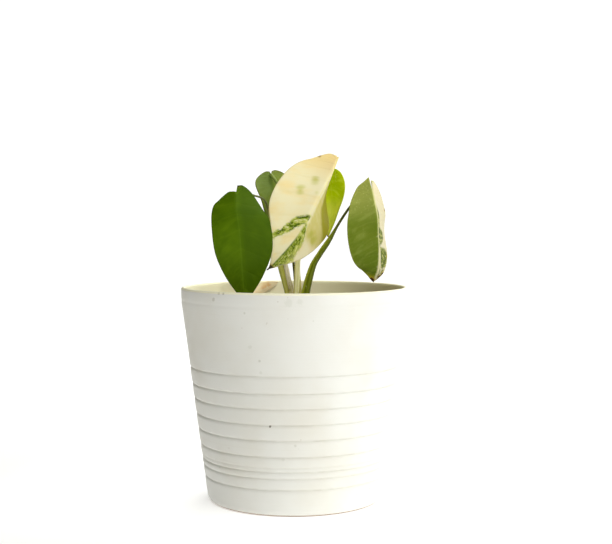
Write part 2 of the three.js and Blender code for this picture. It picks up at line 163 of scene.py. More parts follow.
LEAVES = {
    "left": LeafForm(
        midrib=[
            (-35, -24, 189.6), (-34.2, -30, 177.5), (-32.8, -32, 166.4),
            (-31.6, -33, 152), (-30.9, -32, 140.3), (-29.6, -29, 121),
        ],
        facing=(6, 0),
        half=(16, 20),
        fold=((-18, 2, -24), (-21, -8, -18)),
        curl=(-7, -13),
        lobe=(0.006, 0.068),
        fullness=(-0.03, -0.005),
        shoulder=(1.1, 0.86),
        wave=(0.5, 2.2, 0.4),
        stalk=[
            (-1.9, -0.9, 113.5), (-3.7, -1, 127.5), (-8.4, 0, 144.9), (-13, 0, 164), (-16.4, 0, 179),
            (-19, -6, 185.4), (-26, -15, 188), (-34.1, -22.2, 189),
        ],
        radii=(2.4, 2.4, 2.35, 1.9, 0.9, 0.65, 0.65, 0.9),
    ),
    "back_left": LeafForm(
        midrib=[(-15, 22, 202), (-14, 20, 194.8), (-13, 19, 186.6), (-12.1, 20, 179), (-9, 23, 165)],
        facing=(180, 190),
        half=(12, 12.5),
        fold=((-4, -10, -5), (2, -42, -14)),
        curl=(-10, -18),
        lobe=(0.05, 0.05),
        fullness=(-0.02, -0.02),
        wave=(0.35, 1.8, 2),
        stalk=[
            (-1.4, 7.6, 113.5), (0.4, 7.8, 130), (-0.6, 6.6, 145), (-3, 9, 165), (-7.2, 13.4, 184),
            (-11, 16.6, 195.6), (-14, 18.6, 200.4), (-15, 20.8, 201.4),
        ],
        radii=(1.5, 1.0, 0.85, 0.8, 0.75, 0.75, 0.75, 0.9),
    ),
    "centre": LeafForm(
        midrib=[
            (26.7, -4, 210.8), (22.3, -8, 200.3), (16.7, -12, 189.8), (10.6, -15, 178.9),
            (1.5, -18, 162.6), (-11.2, -21, 147.6), (-16.9, -22, 142.5),
        ],
        facing=(-2, -14.5),
        half=(27.2, 22.8),
        fold=((-24, -7, 0), (-99, -82, -54, -44, -14)),
        curl=(4, -2),
        lobe=(0.015, 0.02),
        fullness=(-0.07, -0.07),
        shoulder=(0.9, 1),
        drip=0.02,
        wave=(0.6, 1.6, 1),
        stalk=[
            (0.8, 4.6, 113.5), (1.1, 3.2, 127.5), (2, 1.2, 147), (3.4, 2.6, 163.4), (8, 3.4, 182),
            (13.6, 2, 196), (20, -0.6, 205.4), (24.2, -2.7, 208.7),
        ],
        radii=(1.7, 1.6, 1.65, 1.7, 1.4, 1.2, 1.1, 1.1),
    ),
    "back_right": LeafForm(
        midrib=[(21.5, 20, 201.5), (23.5, 22, 192), (24, 23, 182), (23, 22, 172.6), (21, 20, 161.8)],
        facing=(167, 146),
        half=(13, 12),
        fold=((-11, -36, -38), (-8, -6, -5)),
        curl=(-20, -10),
        lobe=(0.09, 0.09),
        fullness=(-0.02, -0.02),
        wave=(0.35, 1.7, 0),
        stalk=[
            (5, 7, 113.5), (3.7, 7.6, 128), (2.6, 8.4, 139), (3, 9.6, 150), (6, 12, 166),
            (11, 14.6, 182), (17, 16.6, 196.4), (21.2, 18.8, 201.2),
        ],
        radii=(1.7, 1.2, 1.0, 0.95, 0.9, 0.85, 0.85, 1.0),
    ),
    "right": LeafForm(
        midrib=[
            (47.6, -6, 191.5), (48.8, -9.5, 184.5), (50.5, -12, 175), (51, -12, 163.7),
            (51.6, -11, 152), (50.8, -9, 142), (48, -7, 134.9),
        ],
        facing=(0, 7),
        half=(18.8, 19.2),
        fold=((-8, 6, 10), (-66, -73, -52)),
        curl=(4, 1),
        lobe=(0.15, 0.12),
        fullness=(0.32, 0.22),
        shoulder=(0.74, 0.8),
        pointed=(0.7, 0),
        wave=(0.5, 2, 3),
        stalk=[
            (5.3, -0.3, 113.5), (6.8, -0.6, 127.5), (11.1, 0, 143.6), (15.9, 1, 152), (21.2, 2, 159.8),
            (28.2, 4, 171.6), (35, 5, 181.4), (42.2, 2.4, 189), (46.9, -5.15, 190.4),
        ],
        radii=(2.6, 2.65, 2.4, 1.8, 1.7, 0.85, 0.8, 0.8, 1.0),
    ),
}
DRIED_LEAF = LeafForm(
    midrib=[(-37.2, 44.2, 108.4), (-31.4, 54.2, 118.8), (-22.8, 61.1, 126.3), (-11.1, 65.6, 130.8)],
    facing=(34, 10),
    half=(4, 3.6),
    fold=((-14, -10, -6), (-14, -12, -6)),
    curl=(-18, -18),
    lobe=(0.02, 0.02),
    fullness=(0.3, 0.3),
    wave=(0.3, 2, 0.5),
)

# Marks on the blades, in mm along the midrib from the notch and across it, left of it negative

# Green patches on the cream blades, by their outlines
SECTORS = {
    "centre": [
        [
            (40.5, 0.9), (41.9, -1.6), (45.3, -6.6), (51.9, -9.3), (58.2, -11.4), (64.1, -13.4),
            (66.0, -16.0), (69.0, -15.5), (66.8, -11.3), (61.0, -8.3), (54.7, -4.9), (50.9, -2.9),
            (46.6, -0.2), (43.5, 1.2),
        ],
        [
            (45.2, 0.0), (47.7, 1.6), (51.0, 3.4), (55.6, 5.6), (60.0, 6.6), (64.0, 6.8), (68.3, 7.6),
            (74.2, 5.8), (78.5, 2.2), (82.0, 0.3), (82.0, -0.5), (73.0, -0.3), (62.0, -0.1),
        ],
    ],
    "right": [
        [(-14, 0.2), (-14, -30), (75, -30), (75, -0.6), (30, -0.5)],
        [(24.5, 0.6), (26.5, 7), (28.5, 12), (32, 13), (34.5, 10), (35.5, 5), (35.8, 2), (33, 0.6)],
        [(37, 1.6), (38, 6), (40, 13), (44, 15), (48, 13), (50.5, 10), (51, 6.5), (50, 3.4), (45, 2.2)],
        [(50.5, 2.0), (56.5, 1.4), (56.3, 2.4), (51.5, 3.2)],
        [(51.5, 5.6), (55.0, 4.0), (54.6, 5.4), (52.0, 8.0)],
        [(10.0, 0.2), (17.0, 2.2), (26.0, 1.8), (36.0, 1.2), (37.0, 0.1)],
    ],
}
# Faint green blotches: along, across and radius, in mm
BLOTCHES = {
    "centre": [
        (29.8, -12.4, 2.3), (18.9, -7.4, 1.8), (26.4, -2.7, 1.1), (49.8, 8.0, 2.6), (52.0, 11.6, 2.2),
    ],
}
# A green wash right of the midrib, partly painted shade with light let through from behind, partly the
# blade's own tone, in mm: start and end along, the reach across it grows in, its turn
WASHES_AND_SHADE = {"centre": (8.0, 58.0, 6.0, 11.0, 33.0)}
# Dead brown tissue: along, across and radius, in mm
SCORCHES = {
    "left": [(68.6, 0.0, 0.9), (-4.2, 1.4, 0.7)],
    "back_left": [(38.5, 0.0, 0.7)],
    "centre": [(84.0, 0.0, 4.2), (1.4, -11.8, 0.4)],
    "back_right": [(40.8, 0.0, 0.9)],
    "right": [
        (58.4, -1.4, 1.6), (56.8, 4.6, 2.0), (54.6, 7.4, 1.3), (10.4, 16.6, 0.9), (45.9, 16.0, 1.3),
    ],
    "dried": [(30.6, -0.3, 0.8), (32.8, 0.0, 1.2), (35.2, 0.3, 1.0)],
}
# How far outside every mark a blade without any counts, in mm
NO_MARK = -30.0


# Curves
def smooth_through(points, place):
    """The value or point at place, 0 to 1, on a smooth curve through evenly spaced points."""
    last = len(points) - 1
    spot = min(max(place, 0.0), 1.0) * last
    index = min(int(spot), last - 1)
    part = spot - index
    here = points[index]
    after = points[index + 1]
    before = points[index - 1] if index > 0 else 2 * here - after
    beyond = points[index + 2] if index + 2 <= last else 2 * after - here
    leave = 0.5 * (after - before)
    arrive = 0.5 * (beyond - here)
    square = part * part
    cube = square * part
    return (
        (2 * cube - 3 * square + 1) * here
        + (cube - 2 * square + part) * leave
        + (3 * square - 2 * cube) * after
        + (cube - square) * arrive
    )


def between(values, share):
    """The value at share, 0 to 1, on straight lines through evenly spaced values."""
    place = min(max(share, 0.0), 1.0) * (len(values) - 1)
    index = min(int(place), len(values) - 2)
    return values[index] + (values[index + 1] - values[index]) * (place - index)


def eased(low, high, value):
    """0 below low, 1 above high and a smooth rise between them."""
    part = min(max((value - low) / (high - low), 0.0), 1.0)
    return part * part * (3 - 2 * part)


class Route:
    """A smooth curve through points, read by the share of its length."""

    STEPS = 240

    def __init__(self, points):
        self.points = [Vector(point) for point in points]
        self.lengths = [0.0]
        last = self.points[0]
        for step in range(1, self.STEPS + 1):
            point = smooth_through(self.points, step / self.STEPS)
            self.lengths.append(self.lengths[-1] + (point - last).length)
            last = point
        self.length = self.lengths[-1]

    def place(self, share):
        """Where a share of the length lies in the curve's own steps."""
        wanted = min(max(share, 0.0), 1.0) * self.length
        low, high = 0, self.STEPS
        while high - low > 1:
            middle = (low + high) // 2
            if self.lengths[middle] <= wanted:
                low = middle
            else:
                high = middle
        span = self.lengths[high] - self.lengths[low]
        return (low + (wanted - self.lengths[low]) / span) / self.STEPS

    def point(self, share):
        return smooth_through(self.points, self.place(share))

    def heading(self, share):
        ahead = self.point(min(share + 0.002, 1.0))
        behind = self.point(max(share - 0.002, 0.0))
        return (ahead - behind).normalized()


def leaf_outline(lobe, fullness, shoulder, pointed, drip):
    """Half a leaf's flat outline: along and across as shares, and where its vein leaves the midrib."""
    lack = 1 - shoulder
    rows = [
        (-lobe * (0.9 + 0.1 * pointed), 0.06 * shoulder**2, 0.0),
        (0.06 * pointed - lobe, 0.28 * shoulder, 0.012),
        (0.06 + 0.06 * pointed - lobe, 0.61 * (1 - 0.75 * lack), 0.04),
        (0.12, 0.87 * (1 - 0.35 * lack), 0.09),
        (0.31, 1.0 - 0.05 * lack, 0.2),
        (0.53, 0.96 + 0.2 * fullness, 0.37),
        (0.74, 0.65 + 0.8 * fullness, 0.57),
        (0.89, 0.27 + fullness, 0.78),
        (0.965, 0.085 + 0.4 * fullness - drip, 0.92),
        (1.0, 0.0, 1.0),
    ]
    return [Vector(row) for row in rows]


class LeafSurface:
    """The folded, curled and waved surface of a leaf's underside, and where it lies on the flat leaf."""

    VEIN_SWEEP = 1.25

    def __init__(self, form):
        self.form = form
        self.rib = Route(form.midrib)
        shapes = zip(form.lobe, form.fullness, form.shoulder, form.pointed)
        self.outlines = [leaf_outline(*shape, form.drip) for shape in shapes]

    def flat(self, row, share, half):
        """Along and across the flat leaf, in mm, and the share of the midrib it hangs from."""
        edge = smooth_through(self.outlines[half], row)
        along = edge.z + (edge.x - edge.z) * share**self.VEIN_SWEEP
        across = max(edge.y, 0.0) * share * self.form.half[half]
        return along * self.rib.length, across, along

    def at(self, row, share, half):
        """The point in mm, the upward normal of the midrib there, and the flat place."""
        form = self.form
        length, across, along = self.flat(row, share, half)
        on = min(max(along, 0.0), 1.0)
        point = self.rib.point(on)
        run = self.rib.heading(on)
        if along < 0:
            point = point + run * length
        bearing = math.radians(form.facing[0] + (form.facing[1] - form.facing[0]) * on)
        up = Vector((math.sin(bearing), -math.cos(bearing), 0.0))
        up = (up - run * up.dot(run)).normalized()
        right = up.cross(run)
        fold = math.radians(smooth_through(form.fold[half], on))
        bend = math.radians(form.curl[half]) / form.half[half]
        out = (math.sin(fold + bend * across) - math.sin(fold)) / bend
        rise = (math.cos(fold) - math.cos(fold + bend * across)) / bend
        height, count, phase = form.wave
        swing = math.sin(2 * math.pi * count * row + phase + (1.3 if half else 0.0))
        rise += height * (across / form.half[half]) ** 2 * swing
        side = 1 if half else -1
        turn = fold + bend * across
        normal = up * math.cos(turn) - right * (side * math.sin(turn))
        return point + right * (side * out) + up * rise, normal, length, side * across


def wash_and_shade_level(reach, along, across):
    """How strong the green wash of a cream half is, painted shade and partly the blade's own tone, from 0 to
    1, strongest along the margin.
    """
    start, end, inner, outer, turn = reach
    ends = eased(start, start + 14, along) * (1 - eased(end - 7, end, along))
    aside = across - 0.62 * max(along - turn, 0.0)
    return ends * (0.44 * eased(0.5, 4.0, across) + 0.56 * eased(inner, outer, aside))


def inside_by(outline, along, across):
    """How far a flat place lies inside a closed outline, in mm: negative outside."""
    nearest = 1e9
    crossed = False
    for index, (ax, ay) in enumerate(outline):
        bx, by = outline[index - 1]
        dx, dy = bx - ax, by - ay
        span = dx * dx + dy * dy
        part = min(max(((along - ax) * dx + (across - ay) * dy) / span, 0.0), 1.0)
        nearest = min(nearest, math.hypot(along - ax - dx * part, across - ay - dy * part))
        if (ay > across) != (by > across) and along < ax + (across - ay) / (by - ay) * dx:
            crossed = not crossed
    return nearest if crossed else -nearest


# Mesh making
def clear_selection():
    """Nothing selected and nothing in edit mode, as every new piece starts."""
    if bpy.context.object and bpy.context.object.mode != "OBJECT":
        bpy.ops.object.mode_set(mode="OBJECT")
    bpy.ops.object.select_all(action="DESELECT")


def select_only(piece):
    clear_selection()
    piece.select_set(True)
    bpy.context.view_layer.objects.active = piece


def named(name):
    """The object that was just added, under its own name."""
    piece = bpy.context.object
    piece.name = name
    piece.data.name = name
    return piece


def laid_grid(name, columns, rows, lay):
    """A grid primitive whose points are moved to lay(u, v), with u across and v along from 0 to 1."""
    clear_selection()
    bpy.ops.mesh.primitive_grid_add(x_subdivisions=columns, y_subdivisions=rows, size=2, location=(0, 0, 0))
    piece = named(name)
    for vertex in piece.data.vertices:
        u = (vertex.co.x + 1) / 2
        v = (vertex.co.y + 1) / 2
        vertex.co = Vector(lay(round(u * columns) / columns, round(v * rows) / rows)) * MM
    return piece


def tidy_mesh(piece, apart=0.00001, flip=False, close=False, outward=False):
    """Merges doubled points and, where asked, closes open ends and turns the faces."""
    select_only(piece)
    bpy.ops.object.mode_set(mode="EDIT")
    bpy.ops.mesh.select_all(action="SELECT")
    bpy.ops.mesh.remove_doubles(threshold=apart)
    bpy.ops.mesh.dissolve_degenerate(threshold=apart / 10)
    bpy.ops.mesh.select_all(action="SELECT")
    if close:
        bpy.ops.mesh.fill_holes(sides=0)
    if flip:
        bpy.ops.mesh.flip_normals()
    if outward:
        bpy.ops.mesh.normals_make_consistent(inside=False)
    bpy.ops.object.mode_set(mode="OBJECT")


def add_applied(piece, kind, **settings):
    """Adds a modifier and applies it."""
    select_only(piece)
    modifier = piece.modifiers.new(kind.title(), kind)
    for key, value in settings.items():
        setattr(modifier, key, value)
    bpy.ops.object.modifier_apply(modifier=modifier.name)


def turned_body(name, profile, segments):
    """A round body: a disc whose rim is extruded and resized from ring to ring of (radius, height) in mm."""
    radius, height = profile[0]
    clear_selection()
    bpy.ops.mesh.primitive_circle_add(
        vertices=segments, radius=radius * MM, fill_type="TRIFAN", location=(0, 0, height * MM)
    )
    piece = named(name)
    bpy.ops.object.transform_apply(location=True, rotation=False, scale=False)
    bpy.ops.object.mode_set(mode="EDIT")
    bpy.ops.mesh.select_mode(type="EDGE")
    bpy.ops.mesh.select_all(action="DESELECT")
    bpy.ops.mesh.select_non_manifold()
    for next_radius, next_height in profile[1:]:
        rise = (next_height - height) * MM
        bpy.ops.mesh.extrude_edges_move(TRANSFORM_OT_translate={"value": (0, 0, rise)})
        ratio = next_radius / radius
        bpy.ops.transform.resize(value=(ratio, ratio, 1), center_override=(0, 0, next_height * MM))
        radius, height = next_radius, next_height
    bpy.ops.mesh.edge_face_add()
    bpy.ops.mesh.poke()
    bpy.ops.mesh.select_all(action="SELECT")
    bpy.ops.mesh.normals_make_consistent(inside=False)
    bpy.ops.object.mode_set(mode="OBJECT")
    return piece


def write_attributes(piece, names, rows):
    """Keeps a row of numbers for each point of the mesh, for the materials."""
    for name, values in zip(names, zip(*rows)):
        piece.data.attributes.new(name, "FLOAT", "POINT").data.foreach_set("value", values)


def finish_piece(piece, materials, node, angle=None):
    """Smooth faces, materials, its body and the solid it stands for."""
    select_only(piece)
    if angle is None:
        bpy.ops.object.shade_smooth()
    else:
        bpy.ops.object.shade_smooth_by_angle(angle=math.radians(angle))
    if not piece.data.materials:
        for material in materials:
            piece.data.materials.append(material)
    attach(piece, BODY)
    if node:
        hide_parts(node)
    clear_selection()
    return piece


# Materials
class Nodes:
    """The nodes of a material or a world, and short ways to add and join them."""

    def __init__(self, owner, output):
        owner.use_nodes = True
        self.owner = owner
        self.tree = owner.node_tree
        self.tree.nodes.clear()
        self.output = self.add(output)

    def put(self, socket, value):
        if isinstance(value, bpy.types.NodeSocket):
            self.tree.links.new(value, socket)
        elif hasattr(value, "__len__") and len(value) == 3 and socket.type == "RGBA":
            socket.default_value = (*value, 1.0)
        else:
            socket.default_value = value

    def add(self, kind, settings=None, **inputs):
        node = self.tree.nodes.new("ShaderNode" + kind)
        for key, value in (settings or {}).items():
            setattr(node, key, value)
        for key, value in inputs.items():
            self.put(node.inputs[key.replace("_", " ")], value)
        return node

    def fill(self, node, *values):
        """Gives a node its inputs in their order."""
        for socket, value in zip(node.inputs, values):
            self.put(socket, value)
        return node.outputs

    def calc(self, operation, first, second=0.0):
        return self.fill(self.add("Math", {"operation": operation}), first, second)[0]

    def sum(self, first, second):
        return self.calc("ADD", first, second)

    def minus(self, first, second):
        return self.calc("SUBTRACT", first, second)

    def times(self, first, second):
        return self.calc("MULTIPLY", first, second)

    def absolute(self, value):
        return self.calc("ABSOLUTE", value)

    def ramp(self, value, low, high, start=0.0, end=1.0):
        """A smooth step of value from low to high, given as start to end."""
        limits = dict(From_Min=low, From_Max=high, To_Min=start, To_Max=end)
        return self.add("MapRange", {"interpolation_type": "SMOOTHSTEP"}, Value=value, **limits).outputs[0]

    def mixed(self, share, first, second, blend="MIX"):
        node = self.add("Mix", {"data_type": "RGBA", "blend_type": blend}, Factor=share)
        self.put(node.inputs[6], first)
        self.put(node.inputs[7], second)
        return node.outputs[2]

    def tinted(self, colour, tone, value, low, high, strength=1.0):
        """The colour, going over to a tone by up to a strength as value rises from low to high."""
        return self.mixed(self.ramp(value, low, high, 0.0, strength), colour, tone)

    def mixed_shader(self, share, first, second):
        return self.fill(self.add("MixShader"), share, first, second)[0]

    def close(self, shader):
        self.tree.links.new(shader, self.output.inputs["Surface"])
        return self.owner


class Finish(Nodes):
    """A new material."""

    def __init__(self, name):
        super().__init__(bpy.data.materials.new(name), "OutputMaterial")

    def object_place(self):
        return self.add("TexCoord").outputs["Object"]

    def leaf_place(self):
        return self.add("TexCoord").outputs["UV"]

    def stretched(self, place, scale, turn=(0, 0, 0)):
        return self.add("Mapping", Vector=place, Scale=scale, Rotation=turn).outputs["Vector"]

    def attribute(self, name):
        return self.add("Attribute", {"attribute_name": name}).outputs["Fac"]

    def grain(self, place, scale, detail=3.0, rough=0.5, bent=0.0):
        """Noise from 0 to 1."""
        kinds = dict(Detail=detail, Roughness=rough, Distortion=bent)
        return self.add("TexNoise", Vector=place, Scale=scale, **kinds).outputs["Fac"]

    def streaky(self, place, scale, *kinds):
        """Noise drawn out by its scales along the three axes."""
        return self.grain(self.stretched(place, scale), 1.0, *kinds)

    def cells(self, place, scale):
        return self.add("TexVoronoi", Vector=place, Scale=scale).outputs["Distance"]

    def bumped(self, height, strength, distance):
        return self.add("Bump", Height=height, Strength=strength, Distance=distance).outputs["Normal"]

    def shade(self, through=None, share=0.0, **inputs):
        """A Principled shader, with a share of light let through where the piece is thin."""
        shader = self.add("BsdfPrincipled", **inputs).outputs[0]
        if through is not None:
            glow = self.add("BsdfTranslucent", Color=through).outputs[0]
            shader = self.mixed_shader(share, shader, glow)
        return self.close(shader)


def rgb(red, green, blue):
    """A colour as it is seen on a screen, 0 to 255, as the light that the shaders work in."""
    values = []
    for part in (red, green, blue):
        part = part / 255
        values.append(part / 12.92 if part <= 0.04045 else ((part + 0.055) / 1.055) ** 2.4)
    return tuple(values)


def colour_property(name, description, colour):
    return FloatVectorProperty(
        name=name, description=description, default=rgb(*colour), min=0.0, max=1.0, size=3, subtype="COLOR"
    )


def size_property(name, description, default, low=0.0, high=1.0):
    return FloatProperty(
        name=name, description=description, default=default, min=low, max=high, unit="LENGTH"
    )


def count_property(name, description, default, low, high):
    return IntProperty(name=name, description=description, default=default, min=low, max=high)


def power_property(name, description, default):
    return FloatProperty(name=name, description=description, default=default, unit="POWER")


# Settings
class MONSTERA_PotSettings(PropertyGroup):
    rim_radius: size_property("Rim radius", "Radius of the pot at its rim", POT_BOX[1][0])
    height: size_property("Height", "Height of the pot", POT_BOX[1][2])
    wall: size_property("Wall", "Thickness of the pot's wall", POT_WALL * MM)
    segments: count_property("Segments", "Faces round the pot", 144, 24, 256)
    glaze: colour_property("Glaze", "Satin glaze over the pot", (228, 228, 222))
    glaze_shade: colour_property("Glaze shade", "Warmer tone where the glaze is thin", (216, 211, 196))
    clay: colour_property("Clay", "Bare clay of the foot", (150, 122, 92))


class MONSTERA_LeafSettings(PropertyGroup):
    thickness: size_property("Thickness", "Thickness of a leaf blade", 0.5 * MM, 0.1 * MM, MM)
    groove: size_property("Midrib groove", "Depth of the groove over the midrib", 0.18 * MM, 0.0, MM)
    quilting: size_property("Quilting", "How far the side veins lie below the blade", 0.08 * MM, 0.0, MM)
    rows: count_property("Rows", "Faces along a blade", 150, 20, 240)
    columns: count_property("Columns", "Faces across half a blade", 38, 6, 80)
    green: colour_property("Green", "Upper face of the green leaf", (79, 107, 2))
    green_deep: colour_property("Deep green", "Darker parts of the green leaf", (66, 94, 0))
    cream: colour_property("Cream", "Tissue without green", (250, 246, 221))
    cream_warm: colour_property("Warm cream", "Yellow parts of the cream", (250, 235, 182))
    lime: colour_property("Lime", "Leaf lit through from behind", (204, 212, 16))
    underside: colour_property("Underside", "Grey green of a leaf's underside", (152, 174, 96))
    dead: colour_property("Dead tissue", "Brown tips and edges", (74, 48, 22))


class MONSTERA_StalkSettings(PropertyGroup):
    sides: count_property("Sides", "Faces round a leafstalk", 20, 8, 48)
    steps: count_property("Steps", "Faces along a leafstalk", 110, 20, 240)
    channel: FloatProperty(
        name="Channel", description="Depth of a sheath's channel as a share of its radius",
        default=CHANNEL_DEPTH, min=0, max=0.8,
    )
    left: colour_property("Left", "Skin of the left leafstalk", (234, 238, 104))
    back_left: colour_property("Back left", "Skin of the back left leafstalk", (84, 84, 16))
    centre: colour_property("Centre", "Skin of the centre leafstalk", (255, 252, 178))
    back_right: colour_property("Back right", "Skin of the back right leafstalk", (208, 200, 120))
    right: colour_property("Right", "Skin of the right leafstalk", (108, 120, 2))


class MONSTERA_SoilSettings(PropertyGroup):
    chips: count_property("Bark chips", "Pieces of bark on the mix", 330, 0, 600)
    grains: count_property("Perlite grains", "White grains in the mix", 230, 0, 500)
    seed: count_property("Seed", "Draw for the places of chips and grains", 7, 0, 999)
    mix: colour_property("Mix", "Damp potting mix", (54, 38, 26))
    bark: colour_property("Bark", "Bark chips", (112, 70, 42))
    perlite: colour_property("Perlite", "Perlite grains", (226, 222, 210))


class MONSTERA_StageSettings(PropertyGroup):
    floor: colour_property("Floor", "Plain pale floor", (248, 248, 246))
    room: FloatProperty(name="Room light", description="Strength of the even light all round", default=1.0)
    key: power_property("Key light", "Power of the large light on the right", 3.0)
    fill: power_property("Fill light", "Power of the soft light in front", 1.2)
    top: power_property("Top light", "Power of the light above the front", 3.6)
    beam: power_property("Beam", "Power of the narrow lamp on the far wall", 55.0)
    bounce: power_property("Bounce", "Light thrown up by the floor", 0.3)
    back: power_property("Back light", "Power of the light behind", 7.0)


# Pot
def outer_radius(pot, height):
    """Radius of the plain outer wall, in mm, at a height in mm."""
    rim = pot.rim_radius / MM
    shoulder = pot.height / MM - POT_COLLAR
    if height > shoulder:
        return rim
    return rim - (shoulder - height) * (rim - POT_FOOT_RADIUS) / shoulder


def groove_sink(height):
    """How deep the thrown grooves sink the wall, and how strong the shade painted in their crease is, at a
    height in mm.
    """
    sink = 0.0
    crease = 0.0
    for middle, depth in GROOVES:
        away = height - middle - 0.15
        width = GROOVE_ABOVE if away >= 0 else GROOVE_BELOW
        sink = max(sink, depth * math.exp(-(away / width) ** 2))
        crease = max(crease, math.exp(-((away - 0.15) / GROOVE_CREASE) ** 2) * depth / 0.7)
    return sink, crease


def band_swell(height):
    """The wall between two grooves stands very slightly proud."""
    edges = [middle for middle, depth in GROOVES if depth > 0.4] + [4.0]
    for upper, lower in zip(edges, edges[1:]):
        if lower < height < upper:
            part = (height - lower) / (upper - lower)
            return 0.22 * math.sin(math.pi * part) ** 0.8
    return 0.0


def pot_profile(pot):
    """(radius, height) in mm from the middle of the foot, up the wall, over the lip and down inside."""
    top = pot.height / MM
    rim = pot.rim_radius / MM
    wall = pot.wall / MM
    ring = POT_FOOT_RADIUS - 2.4
    foot = [(-7.6, 1.5), (-6.6, 1.2), (-5.8, 0.25), (-5.2, 0.0), (-2.5, 0.0), (0, 0.0), (0.9, 0.25)]
    foot += [(1.7, 0.9), (2.25, 1.8)]
    profile = [(6.0, 1.5), (30.0, 1.5)] + [(ring + out, height) for out, height in foot]
    heights = [2.6, 3.4, 4.4, 6.0, 8.0, 10.0, 12.0, 13.4]
    for middle, _ in reversed(GROOVES):
        heights += [middle + step for step in GROOVE_STEPS]
    heights += [88 + 4.4 * step for step in range(8)]
    heights += [122.0, 122.9, 123.4, 123.8, 124.4, 125.4, 127.0]
    kept = -1.0
    for height in sorted(heights):
        if height - kept < 0.09:
            continue
        kept = height
        sink, _ = groove_sink(height)
        swell = band_swell(height)
        soft = 0.25 * math.exp(-((height - POT_CREASE) / 0.9) ** 2)
        profile.append((outer_radius(pot, height) - sink + swell - soft, height))
    lip = wall / 2
    for step in range(11):
        turn = math.pi * step / 10
        profile.append((rim - lip + lip * math.cos(turn), top - lip + lip * math.sin(turn)))
    inside = [top - 3.0, top - 5.5, top - 8.0, 119.0, 115.5, 112.5, 108.0, 90.0, 60.0, 30.0, 12.0]
    for height in inside:
        profile.append((outer_radius(pot, height) - wall, height))
    for share in (1.0, 0.7, 0.45, 0.25, 0.1, 0.0):
        height = POT_FLOOR + POT_FLOOR_CORNER * share
        drop = POT_FLOOR_CORNER * (1 - share)
        edge = math.sqrt(POT_FLOOR_CORNER**2 - drop**2)
        profile.append((outer_radius(pot, height) - wall - POT_FLOOR_CORNER + edge, height))
    profile += [(30.0, POT_FLOOR), (8.0, POT_FLOOR)]
    return profile


def glaze_finish(pot):
    """Satin glaze: soft mottling, throwing lines, painted shade in the creases, tiny pits, chips and a
    smudge, and painted light on the inside wall.
    """
    f = Finish("pot_glaze")
    place = f.object_place()
    crease = f.attribute("crease")
    lip = f.attribute("lip")
    inner = f.attribute("inner")
    clouds = f.grain(place, 26.0, 4.0)
    colour = f.tinted(pot.glaze, pot.glaze_shade, clouds, 0.35, 0.75)
    colour = f.mixed(0.45, pot.glaze, colour)
    lines = f.streaky(place, (3.0, 3.0, 900.0), 2.0)
    colour = f.tinted(colour, rgb(196, 186, 164), lines, 0.55, 0.9, 0.12)
    # Painted shade: a warm dark line in each groove's crease, where the groove's own shadow falls, broken up
    # by noise.
    crease_shade = f.times(crease, f.ramp(f.grain(place, 160.0, 2.0), 0.3, 0.62, 0.35, 1.0))
    colour = f.mixed(f.times(crease_shade, 0.16), colour, rgb(140, 122, 92))
    pits = f.ramp(f.cells(place, 210.0), 0.05, 0.09, 1.0, 0.0)
    rare = f.ramp(f.grain(place, 34.0, 1.0), 0.62, 0.66)
    pits = f.times(pits, rare)
    colour = f.mixed(f.times(pits, 0.35), colour, rgb(150, 132, 100))
    # Painted light: the inside wall is the same glaze, painted lighter and yellower for the light bounced
    # round inside the pot.
    colour = f.mixed(f.times(inner, 0.95), colour, rgb(255, 250, 214))
    colour = f.mixed(f.times(lip, 0.7), colour, rgb(242, 237, 200))
    for centre, radius, strength, shade in GLAZE_MARKS:
        offset = f.add("VectorMath", {"operation": "DISTANCE"})
        f.fill(offset, place, tuple(value * MM for value in centre))
        ragged = f.times(f.grain(place, 700.0, 2.0), radius * MM * 0.9)
        away = f.sum(offset.outputs["Value"], ragged)
        spot = f.ramp(away, radius * MM * 0.9, radius * MM * 1.35, strength, 0.0)
        colour = f.mixed(spot, colour, rgb(*shade))
    foot = f.ramp(f.add("SeparateXYZ", Vector=place).outputs["Z"], 0.0004, 0.0011, 1.0, 0.0)
    colour = f.mixed(foot, colour, pot.clay)
    rough = f.ramp(clouds, 0.2, 0.8, 0.42, 0.54)
    rough = f.calc("MAXIMUM", rough, f.times(foot, 0.85))
    relief = f.sum(f.times(lines, 0.5), f.times(f.grain(place, 90.0, 3.0), 0.7))
    relief = f.minus(relief, f.times(pits, 0.6))
    normal = f.bumped(relief, 0.35, 0.00025)
    return f.shade(Base_Color=colour, Roughness=rough, Normal=normal, IOR=1.47, Specular_IOR_Level=0.2)


class MONSTERA_OT_pot(Operator):
    """Ribbed pot with its foot ring, thrown grooves, collar and rolled lip"""

    bl_idname = "monstera.pot"
    bl_label = "Pot"

    def execute(self, context):
        pot = context.scene.monstera_pot
        piece = turned_body("ribbed_pot", pot_profile(pot), pot.segments)
        top = pot.height / MM
        rows = []
        for vertex in piece.data.vertices:
            height = vertex.co.z / MM
            radius = math.hypot(vertex.co.x, vertex.co.y) / MM
            outside = radius > outer_radius(pot, height) - 1.6
            # crease carries the shade painted in the grooves; inner marks the inside wall, which is painted
            # lighter as painted light.
            crease = groove_sink(height)[1] if outside and 4 < height < 100 else 0.0
            rows.append((crease, float(height > top - 0.9), float(not outside and height >= 20)))
        write_attributes(piece, ("crease", "lip", "inner"), rows)
        finish_piece(piece, [glaze_finish(pot)], "pot")
        return {"FINISHED"}


# Soil
def inner_radius(height):
    """Radius of the pot's bore, in mm, at a height in mm."""
    rim = POT_BOX[1][0] / MM
    shoulder = POT_BOX[1][2] / MM - POT_COLLAR
    radius = rim - max(shoulder - height, 0.0) * (rim - POT_FOOT_RADIUS) / shoulder
    return radius - POT_WALL


def from_crown(x, y):
    """Distance from the crown's middle, in mm."""
    return math.hypot(x - CROWN_CENTRE[0], y - CROWN_CENTRE[1])


